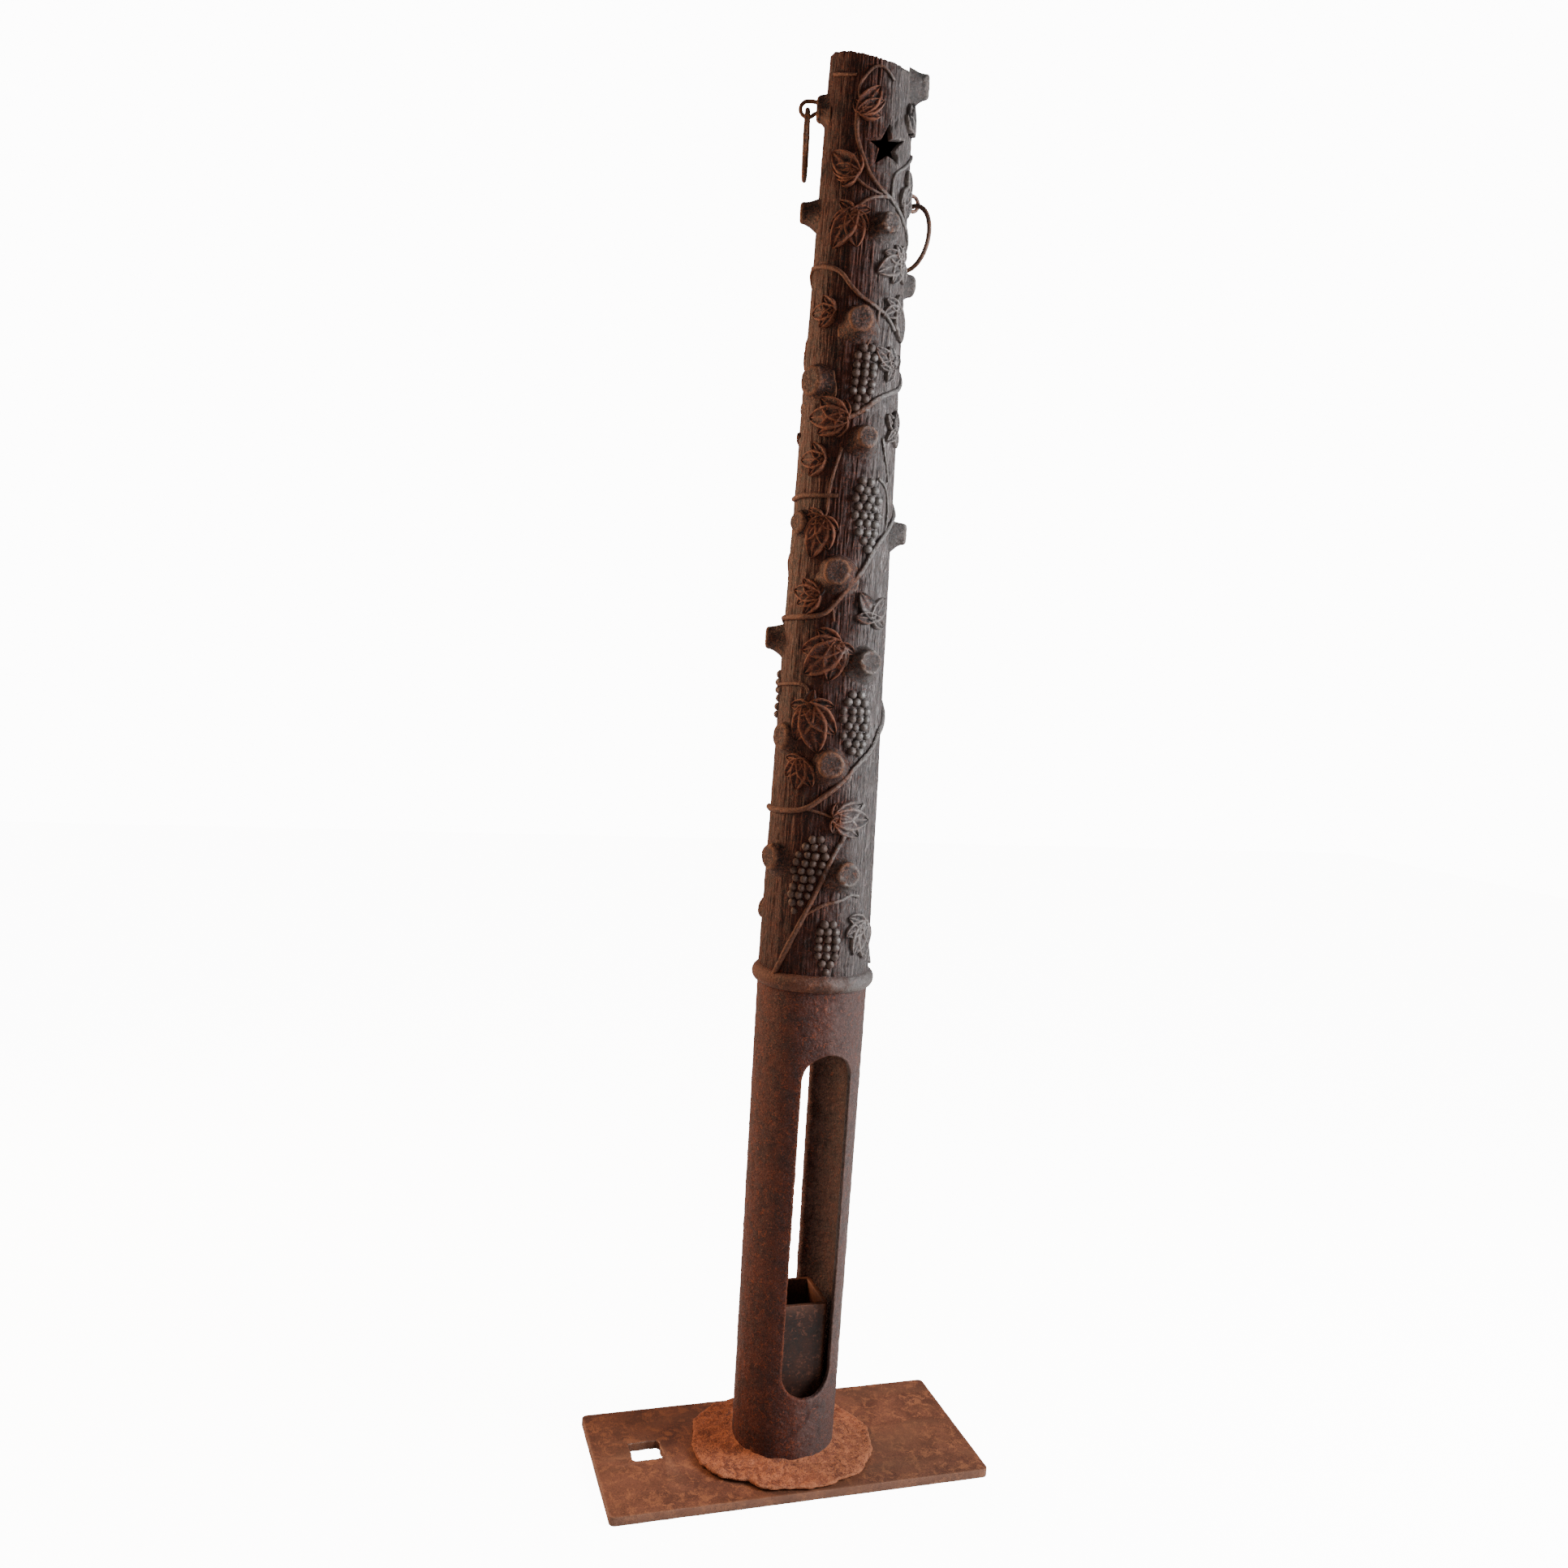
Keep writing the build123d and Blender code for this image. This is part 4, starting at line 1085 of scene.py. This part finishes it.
VINE_STEMS = [
    (3.6, [(-62, 634), (-45, 678), (-30, 718), (-17, 755), (-7, 785), (4, 810), (18, 838), (27, 850)]),
    (2.4, [(-32, 714), (-14, 727), (5, 734), (17, 740), (27, 738)]),
    (3.8, [(80, 645), (103, 690), (130, 735), (165, 780), (205, 815), (253, 836)]),
    (3.8, [(-107, 836), (-62, 837), (-37, 843), (-21, 857), (-5, 873), (17, 900), (34, 917), (46, 935)]),
    (1.9, [(-39, 842), (-20, 838), (-6, 832)]),
    (3.6, [(46, 935), (90, 975), (140, 1012), (195, 1045), (253, 1069)]),
    (3.6, [(-107, 1069), (-59, 1070), (-34, 1074), (-22, 1086), (-8, 1107), (8, 1130), (22, 1156), (48, 1185),
           (68, 1200)]),
    (1.9, [(-23, 1091), (-23, 1080), (-21, 1066)]),
    (3.4, [(68, 1200), (110, 1232), (160, 1258), (215, 1275), (260, 1290)]),
    (3.2, [(-25, 1301), (-4, 1314), (10, 1326), (28, 1337), (56, 1350), (100, 1385), (150, 1422), (205, 1458),
           (266, 1484)]),
    (3.0, [(-94, 1484), (-67, 1480), (-51, 1476), (-38, 1468), (-29, 1457), (-14, 1443), (7, 1432),
           (19, 1426),
           (35, 1412)]),
    (1.8, [(9, 1431), (6, 1413), (0, 1398), (-6, 1384)]),
    (3.4, [(-97, 1212), (-71, 1214), (-42, 1213), (-26, 1213)]),
    (2.2, [(-25, 1269), (-32, 1242), (-36, 1218), (-37, 1194), (-42, 1185)]),
    (2.6, [(-34, 1650), (-33, 1628), (-28, 1612), (-20, 1595), (-13, 1582), (1, 1568), (16, 1559), (30, 1549),
           (52, 1534), (95, 1512), (150, 1505)]),
    (2.0, [(-65, 1609), (-38, 1584), (-17, 1568), (4, 1561)]),
    (2.2, [(14, 1560), (-6, 1557), (-21, 1549), (-31, 1537)]),
    (2.4, [(69, 1623), (41, 1602), (23, 1589), (19, 1579), (18, 1560)]),
    (2.4, [(-77, 1702), (-57, 1697), (-39, 1694)]),
    (2.0, [(-29, 1656), (-34, 1679), (-25, 1694), (-14, 1703), (-1, 1702), (12, 1691)]),
    (1.8, [(25, 1285), (30, 1266), (36, 1250), (39, 1236)]),
    (2.4, [(-107, 987), (-64, 990), (-47, 987), (-41, 968)]),
    (1.6, [(22, 1238), (36, 1226), (42, 1200), (36, 1172), (22, 1156)]),
    (2.4, [(150, 1505), (190, 1530), (225, 1572), (240, 1620)]),
]
STEM_STAND_OFF = 0.35
STEM_STEP = 0.0035
STEM_TAPER = 0.72
MILLIMETRE = 0.001


def wrap_group():
    """Bend a flat layout round the tapering trunk: X runs round it, Y stands off it, Z is the height."""
    tree, start, end = new_group("round_the_trunk", "GeometryNodeTree", [
        ("INPUT", "Shape", SHAPE, None), ("OUTPUT", "Shape", SHAPE, None),
    ])
    flat = place(tree, "ShaderNodeSeparateXYZ",
                 {0: place(tree, "GeometryNodeInputPosition").outputs[0]}).outputs
    reach = TRUNK_REACHES[0]
    marks = list(zip(TRUNK_MARKS, TRUNK_REACHES))
    for (low, wide), (high, narrow) in zip(marks, marks[1:]):
        feeds = {"Value": flat["Z"], "From Min": low, "From Max": high, "To Min": 0.0,
                 "To Max": wide - narrow}
        loss = place(tree, "ShaderNodeMapRange", feeds).outputs["Result"]
        reach = reckon(tree, "SUBTRACT", reach, loss)
    hub = place(tree, "GeometryNodeInputNamedAttribute", {"Name": "hub"}, data_type="FLOAT").outputs[0]
    turn = reckon(tree, "ADD", hub, reckon(tree, "DIVIDE", flat["X"], reach))
    out = reckon(tree, "ADD", reach, flat["Y"])
    spot = place(tree, "ShaderNodeCombineXYZ", {
        "X": reckon(tree, "MULTIPLY", out, reckon(tree, "SINE", turn)),
        "Y": reckon(tree, "MULTIPLY", reckon(tree, "MULTIPLY", out, reckon(tree, "COSINE", turn)), -1.0),
        "Z": flat["Z"],
    }).outputs[0]
    bent = place(tree, "GeometryNodeSetPosition", {"Geometry": start.outputs["Shape"], "Position": spot})
    tree.links.new(bent.outputs[0], end.inputs["Shape"])
    return tree


ROUND_THE_TRUNK = wrap_group()


def stem_tree():
    """Smooth tapering rods along lines that are laid round the trunk."""
    tree, start, end = shaping_tree("vine_stem", {"Step": STEM_STEP, "Taper": STEM_TAPER, **CASTING_SIZES})
    line = place(tree, "GeometryNodeMeshToCurve", {"Mesh": start.outputs["Shape"]}).outputs[0]
    bendy = place(tree, "GeometryNodeCurveSplineType", {"Curve": line}, spline_type="CATMULL_ROM").outputs[0]
    even = place(tree, "GeometryNodeResampleCurve", {"Curve": bendy, "Length": start.outputs["Step"]},
                 mode="LENGTH").outputs[0]
    laid = use_group(tree, ROUND_THE_TRUNK, {"Shape": even}).outputs[0]
    thick = place(tree, "GeometryNodeInputNamedAttribute", {"Name": "thickness"},
                  data_type="FLOAT").outputs[0]
    along = place(tree, "GeometryNodeSplineParameter").outputs["Factor"]
    thin = place(tree, "ShaderNodeMapRange",
                 {"Value": along, "To Min": 1.0, "To Max": start.outputs["Taper"]})
    knotty = cloud(tree, place(tree, "GeometryNodeInputPosition").outputs[0], 0.02, 2.0)
    knotty = reckon(tree, "ADD", reckon(tree, "MULTIPLY", knotty, 0.5), 0.75)
    radius = reckon(tree, "MULTIPLY", reckon(tree, "MULTIPLY", thick, thin.outputs["Result"]), knotty)
    section = place(tree, "GeometryNodeCurvePrimitiveCircle",
                    {"Resolution": 12, "Radius": 1.0}).outputs["Curve"]
    feeds = {"Curve": laid, "Profile Curve": section, "Scale": radius, "Fill Caps": True}
    rods = place(tree, "GeometryNodeCurveToMesh", feeds)
    return end_tree(tree, start, end, roughened(tree, start, rods.outputs[0]))


def vine_finish(name, middle, bright, rubbed):
    """Vine iron: dark below, brown and rubbed along its back."""
    return iron_finish(name, tint(30, 17, 13), middle, bright, rubbed,
                       patch=0.018, bright_share=0.3, painted_sheen=0.8, rub=0.6, soil=0.8, relief=0.0016,
                       lump=0.003)


def vine_stems():
    """All the stems as lines in the flat, then bent and thickened."""
    routes = []
    thickness = []
    for radius, route in VINE_STEMS:
        radius *= MILLIMETRE
        line = []
        for bearing, height in route:
            height *= MILLIMETRE
            line.append((math.radians(bearing) * float(trunk_reach(height)), STEM_STAND_OFF * radius, height))
        routes.append(line)
        thickness += [radius] * len(route)
    stems = line_piece("vine_stems_iron", routes, {"thickness": thickness, "hub": [0] * len(thickness)})
    finish = vine_finish("vine_iron", tint(54, 31, 23), tint(84, 48, 32), tint(120, 78, 56))
    press(stems, stem_tree(), finish,
          {"Swell": 0.0005, "Swell Size": 0.006, "Pit": 0.0003, "Pit Size": 0.003})
    finish_off(stems, None, "vine_iron", "post", "vine_stems")


vine_stems()


# ----------------------------------------------------------- grape clusters
# Bunches of round grapes, each grape a separate boss in the casting, packed in
# rows that narrow to the tip and lean with the way the bunch hangs. Each line
# gives a bunch's bearing, top height, lean to the right and grapes in each row.

GRAPE_CLUSTERS = [
    (-3, 1385, -4, [2, 3, 3, 3, 3, 3, 2, 2]),
    (7, 1232, 5, [2, 3, 4, 3, 4, 3, 3, 2, 1]),
    (10, 982, 2, [2, 3, 4, 4, 3, 4, 3, 2]),
    (-24, 806, -19, [2, 3, 4, 4, 4, 3, 3, 3, 2, 1]),
    (-6, 705, 0, [2, 3, 3, 3, 3, 2, 1]),
    (110, 1175, 3, [2, 3, 4, 3, 4, 3, 2, 1]),
    (175, 1020, -4, [2, 3, 4, 4, 3, 3, 2]),
    (185, 1500, 3, [2, 3, 3, 4, 3, 2, 1]),
    (250, 1000, 0, [2, 3, 4, 3, 3, 2]),
]
GRAPE_RADIUS = 0.005
GRAPE_PITCH = 0.0106
GRAPE_ROW_DROP = 0.0098
GRAPE_SINK = -0.0003
GRAPE_SCATTER = 0.0009


def grape_tree():
    """A slightly uneven ball on each point of a layout bent round the trunk."""
    tree, start, end = shaping_tree("grape_bunch",
                                    {"Grape Radius": GRAPE_RADIUS, "Uneven": 0.1, **CASTING_SIZES})
    laid = use_group(tree, ROUND_THE_TRUNK, {"Shape": start.outputs["Shape"]}).outputs[0]
    ball = place(tree, "GeometryNodeMeshIcoSphere",
                 {"Radius": start.outputs["Grape Radius"], "Subdivisions": 2})
    least = reckon(tree, "SUBTRACT", 1.0, start.outputs["Uneven"])
    most = reckon(tree, "ADD", 1.0, start.outputs["Uneven"])
    size = place(tree, "FunctionNodeRandomValue", {2: least, 3: most, "Seed": 3},
                 data_type="FLOAT").outputs[1]
    feeds = {"Points": laid, "Instance": ball.outputs["Mesh"], "Scale": size}
    bunch = place(tree, "GeometryNodeInstanceOnPoints", feeds).outputs[0]
    real = place(tree, "GeometryNodeRealizeInstances", {"Geometry": bunch}).outputs[0]
    return end_tree(tree, start, end, roughened(tree, start, real))


GRAPE_TREE = grape_tree()
GRAPE_IRON = iron_finish("grape_iron", tint(25, 16, 14), tint(42, 29, 26), tint(66, 42, 32),
                         tint(104, 82, 72),
                         patch=0.012, bright_share=0.15, painted_sheen=0.7, rub=0.5, soil=1.0, relief=0.0007,
                         lump=0.003)


def grape_cluster(number, bearing, height, lean, rows):
    """Rows of grapes laid out in the flat, a little out of line."""
    dice = np.random.default_rng(100 + number)
    height *= MILLIMETRE
    reach = float(trunk_reach(height))
    spots = []
    for row, count in enumerate(rows):
        shift = math.radians(lean * row / (len(rows) - 1)) * reach
        for spot in range(count):
            across = shift + (spot - (count - 1) / 2) * GRAPE_PITCH
            drift = dice.uniform(-GRAPE_SCATTER, GRAPE_SCATTER, 3)
            spots.append((across + drift[0], GRAPE_SINK + drift[1], height - row * GRAPE_ROW_DROP + drift[2]))
    bunch = line_piece(f"grape_cluster_{number}_iron", [[spot] for spot in spots],
                       {"hub": [math.radians(bearing)] * len(spots)})
    press(bunch, GRAPE_TREE, GRAPE_IRON,
          {"Swell": 0.0003, "Swell Size": 0.005, "Pit": 0.0003, "Pit Size": 0.002})
    finish_off(bunch, None, "grape_iron", "post", f"grape_cluster_{number}")


for number, cluster in enumerate(GRAPE_CLUSTERS, 1):
    grape_cluster(number, *cluster)


# -------------------------------------------------------------- vine leaves
# Broad vine leaves in low relief. Each lobe is a long boat with a raised rim, a
# sunk middle and a proud rib. Each line gives the hub's bearing and height and
# the angle and length of each lobe, from rightward round towards straight up.

VINE_LEAVES = [
    (-29, 1651, [(127, 18), (57, 39), (27, 31), (-12, 25)]),
    (-31, 1582, [(85, 27), (138, 46), (165, 33), (190, 26), (229, 22)]),
    (-31, 1537, [(131, 24), (207, 34), (240, 48), (283, 42), (322, 28), (20, 22)]),
    (38, 1492, [(210, 42), (165, 29), (113, 22), (250, 33), (300, 28), (70, 22)]),
    (-47, 1426, [(178, 36), (125, 26), (230, 26)]),
    (38, 1436, [(200, 28), (150, 24), (290, 40), (80, 23)]),
    (-25, 1303, [(85, 24), (140, 42), (178, 49), (212, 40), (258, 26)]),
    (32, 1370, [(145, 33), (100, 25), (190, 22), (258, 22), (40, 24)]),
    (-46, 1255, [(178, 38), (125, 28), (230, 28)]),
    (-42, 1185, [(140, 24), (175, 26), (229, 34), (256, 51), (289, 40), (335, 26)]),
    (-41, 1096, [(60, 20), (136, 30), (171, 37), (203, 33), (240, 30)]),
    (-15, 1038, [(137, 34), (188, 49), (223, 58), (261, 47), (293, 30), (345, 24)]),
    (-41, 963, [(88, 24), (170, 28), (205, 24), (247, 48), (284, 60), (320, 48), (14, 32)]),
    (-46, 898, [(220, 32), (262, 38), (300, 36), (165, 24)]),
    (-5, 833, [(98, 21), (30, 40), (358, 48), (323, 40), (252, 20)]),
    (37, 703, [(152, 30), (199, 34), (245, 43), (276, 47), (305, 34)]),
    (24, 1074, [(125, 38), (48, 36), (185, 26), (330, 26)]),
    (44, 1297, [(130, 25), (80, 28), (230, 22), (300, 24)]),
    (54, 1645, [(80, 40), (110, 34), (140, 24)]),
    (50, 1578, [(262, 40), (235, 30), (90, 24)]),
    (112, 720, [(20, 34), (60, 40), (100, 34), (330, 30), (160, 26)]),
    (150, 880, [(140, 34), (180, 44), (220, 48), (260, 42), (80, 26)]),
    (205, 775, [(0, 36), (320, 44), (280, 42), (240, 34), (60, 26)]),
    (165, 1100, [(60, 34), (100, 42), (140, 36), (20, 30), (200, 26)]),
    (218, 1150, [(200, 36), (240, 46), (280, 44), (320, 34), (140, 26)]),
    (118, 1300, [(30, 34), (70, 42), (110, 38), (350, 28), (150, 26)]),
    (175, 1370, [(200, 34), (240, 44), (280, 40), (320, 32), (130, 24)]),
    (228, 1395, [(150, 30), (190, 38), (230, 40), (270, 32), (100, 24)]),
    (132, 1560, [(20, 30), (60, 38), (100, 36), (330, 26), (150, 24)]),
    (200, 1600, [(190, 30), (230, 38), (270, 38), (310, 30), (120, 22)]),
    (215, 1020, [(180, 32), (220, 40), (260, 40), (300, 32), (110, 24)]),
]
LOBE_STEPS = 18
LOBE_SLENDER = 0.33
LOBE_CURL = 34
LOBE_UNDERSIDE = -0.0026
LOBE_START = -0.08
LOBE_WIDEST = 0.42
LOBE_TIP_FADE = 0.45
LOBE_VEIN = 0.0004
# Section across half a lobe: share of the half width, then height off the trunk
LOBE_SECTION = [(0, 0.0046), (0.1, 0.0042), (0.22, 0.0032), (0.4, 0.003), (0.55, 0.0038), (0.7, 0.0052),
                (0.82, 0.006), (0.92, 0.0052), (0.98, 0.0028), (1.0, -0.0012)]


def leaf_lobe(angle, length, main, longest):
    """Points and faces of one lobe in the flat, curled towards the leaf's main way."""
    length *= MILLIMETRE
    lean = (main - angle + 180) % 360 - 180
    curl = math.copysign(min(abs(lean), 90) / 90, lean) * LOBE_CURL * (1.3 - length / (longest * MILLIMETRE))
    shares = np.linspace(0, 1, LOBE_STEPS)
    turns = np.radians(angle + curl * shares ** 2)
    step = length / (LOBE_STEPS - 1)
    line_x = np.concatenate([[0],
                             np.cumsum(np.cos(turns[:-1]) * step)]) + LOBE_START * length * math.cos(turns[0])
    line_z = np.concatenate([[0],
                             np.cumsum(np.sin(turns[:-1]) * step)]) + LOBE_START * length * math.sin(turns[0])
    widths = LOBE_SLENDER * length * (0.42 + 0.58 * np.clip(shares / LOBE_WIDEST, 0, 1) ** 0.8)
    widths *= np.clip(1 - shares ** 3.2, 0, 1) ** 0.8
    half = LOBE_SECTION[::-1]
    section = [(-share, height) for share, height in half] + LOBE_SECTION[1:]
    levels = [(share, height) for share, height in section] + [(0.7, LOBE_UNDERSIDE), (-0.7, LOBE_UNDERSIDE)]
    fade = 1 - LOBE_TIP_FADE * shares ** 4
    points = []
    for spot in range(LOBE_STEPS):
        for share, height in levels:
            across = share * widths[spot]
            vein = LOBE_VEIN * math.cos(26 * shares[spot] - 5 * abs(share)) if 0.1 < abs(share) < 0.8 else 0
            rise = height * fade[spot] + vein if height > 0 else height
            points.append((line_x[spot] - across * math.sin(turns[spot]), rise,
                           line_z[spot] + across * math.cos(turns[spot])))
    return np.array(points), len(levels)


def leaf_tree():
    """Flat leaves bent round the trunk and roughened."""
    tree, start, end = shaping_tree("vine_leaf", CASTING_SIZES)
    laid = use_group(tree, ROUND_THE_TRUNK, {"Shape": start.outputs["Shape"]}).outputs[0]
    return end_tree(tree, start, end, roughened(tree, start, laid))


def vine_leaves():
    """Every lobe of every leaf as a closed shell in the flat, then bent round the trunk."""
    points = []
    faces = []
    hubs = []
    for bearing, height, lobes in VINE_LEAVES:
        longest = max(length for angle, length in lobes)
        main = next(angle for angle, length in lobes if length == longest)
        for number, (angle, length) in enumerate(lobes):
            spots, size = leaf_lobe(angle, length, main, longest)
            spots[:, 1] += 0.0004 * (number % 3 - 1)
            spots[:, 2] += height * MILLIMETRE
            first = len(points)
            faces += [[first + spot for spot in face] for face in ring_faces(LOBE_STEPS, size)]
            faces.append([first + spot for spot in range(size)])
            faces.append([first + (LOBE_STEPS - 1) * size + spot for spot in range(size)])
            points.extend(spots)
            hubs += [math.radians(bearing)] * len(spots)
    mesh = bpy.data.meshes.new("vine_leaves_iron")
    mesh.from_pydata([tuple(point) for point in points], [], faces)
    layer = mesh.attributes.new("hub", "FLOAT", "POINT")
    layer.data.foreach_set("value", np.array(hubs, np.float32))
    leaves = bpy.data.objects.new("vine_leaves_iron", mesh)
    bpy.context.collection.objects.link(leaves)
    finish = vine_finish("leaf_iron", tint(74, 38, 26), tint(102, 54, 35), tint(136, 84, 60))
    press(leaves, leaf_tree(), finish,
          {"Swell": 0.0007, "Swell Size": 0.006, "Pit": 0.0004, "Pit Size": 0.003})
    work = bmesh.new()
    work.from_mesh(leaves.data)
    bmesh.ops.remove_doubles(work, verts=work.verts, dist=MERGE_GAP)
    bmesh.ops.recalc_face_normals(work, faces=work.faces)
    work.to_mesh(leaves.data)
    work.free()
    finish_off(leaves, None, "leaf_iron", "post", "vine_leaves")


vine_leaves()


# ---------------------------------------------------------- eyes and rings
# Each ring is tied by an eye of iron rod, bent round and cast into its stump.
# The rings are rod forged round and welded, worn thin where they hang.

EYE_ROD = 0.0024
RING_ROD = 0.0029
ROD_STEP = 0.0016


def rod_tree():
    """Round rod along smooth lines, hammered slightly uneven."""
    tree, start, end = shaping_tree("forged_rod", {"Rod Radius": 0.003, "Step": ROD_STEP, **CASTING_SIZES})
    line = place(tree, "GeometryNodeMeshToCurve", {"Mesh": start.outputs["Shape"]}).outputs[0]
    bendy = place(tree, "GeometryNodeCurveSplineType", {"Curve": line}, spline_type="CATMULL_ROM").outputs[0]
    even = place(tree, "GeometryNodeResampleCurve", {"Curve": bendy, "Length": start.outputs["Step"]},
                 mode="LENGTH").outputs[0]
    section = place(tree, "GeometryNodeCurvePrimitiveCircle", {
        "Resolution": 20, "Radius": start.outputs["Rod Radius"],
    }).outputs["Curve"]
    rod = place(tree, "GeometryNodeCurveToMesh", {"Curve": even, "Profile Curve": section, "Fill Caps": True})
    return end_tree(tree, start, end, roughened(tree, start, rod.outputs[0]))


ROD_TREE = rod_tree()
FORGED_IRON = iron_finish("forged_iron", tint(44, 25, 16), tint(80, 45, 27), tint(118, 68, 39),
                          tint(130, 92, 68),
                          patch=0.012, bright_share=0.35, painted_sheen=0.3, rub=0.5, soil=0.6, relief=0.0007,
                          lump=0.003)
FORGED_SIZES = {"Swell": 0.0002, "Swell Size": 0.008, "Pit": 0.0002, "Pit Size": 0.003}


def eye_and_ring(side):
    """P-shaped eye with both its ends in the stump, and the ring that hangs in it."""
    low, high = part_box("eye_" + side)
    middle = (low + high) / 2
    bearing = math.degrees(math.atan2(middle.x, -middle.y))
    away = outward(bearing)
    rest_low, rest_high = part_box("ring_" + side)
    centre = (rest_low + rest_high) / 2
    eye_reach = math.hypot(centre.x, centre.y)
    eye_radius = (high.z - low.z) / 2 - EYE_ROD
    eye_height = middle.z
    root = -0.0145
    path = [(root, 0.0078), (-0.008, 0.0088), (-0.003, eye_radius)]
    path += [(eye_radius * math.sin(turn),
              eye_radius * math.cos(turn)) for turn in np.radians(np.arange(20, 231, 15))]
    path += [(-0.0095, -0.0046), (root, -0.0036)]
    route = [away * (eye_reach + out) + Vector((0, 0, eye_height + up)) for out, up in path]
    eye = line_piece(f"eye_{side}_iron", [route])
    press(eye, ROD_TREE, FORGED_IRON, {"Rod Radius": EYE_ROD, **FORGED_SIZES})
    finish_off(eye, None, "forged_iron", "post", "eye_" + side)
    radius = (rest_high.z - rest_low.z) / 2 - RING_ROD
    right = outward(bearing + 90)
    turns = np.linspace(0, 2 * math.pi, 73)
    route = [centre + right * radius * math.sin(turn) + Vector((0, 0,
                                                                radius * math.cos(turn))) for turn in turns]
    ring = line_piece(f"ring_{side}_iron", [route])
    press(ring, ROD_TREE, FORGED_IRON, {"Rod Radius": RING_ROD, **FORGED_SIZES})
    finish_off(ring, None, "forged_iron", "ring_" + side, "ring_" + side)


eye_and_ring("left")
eye_and_ring("right")
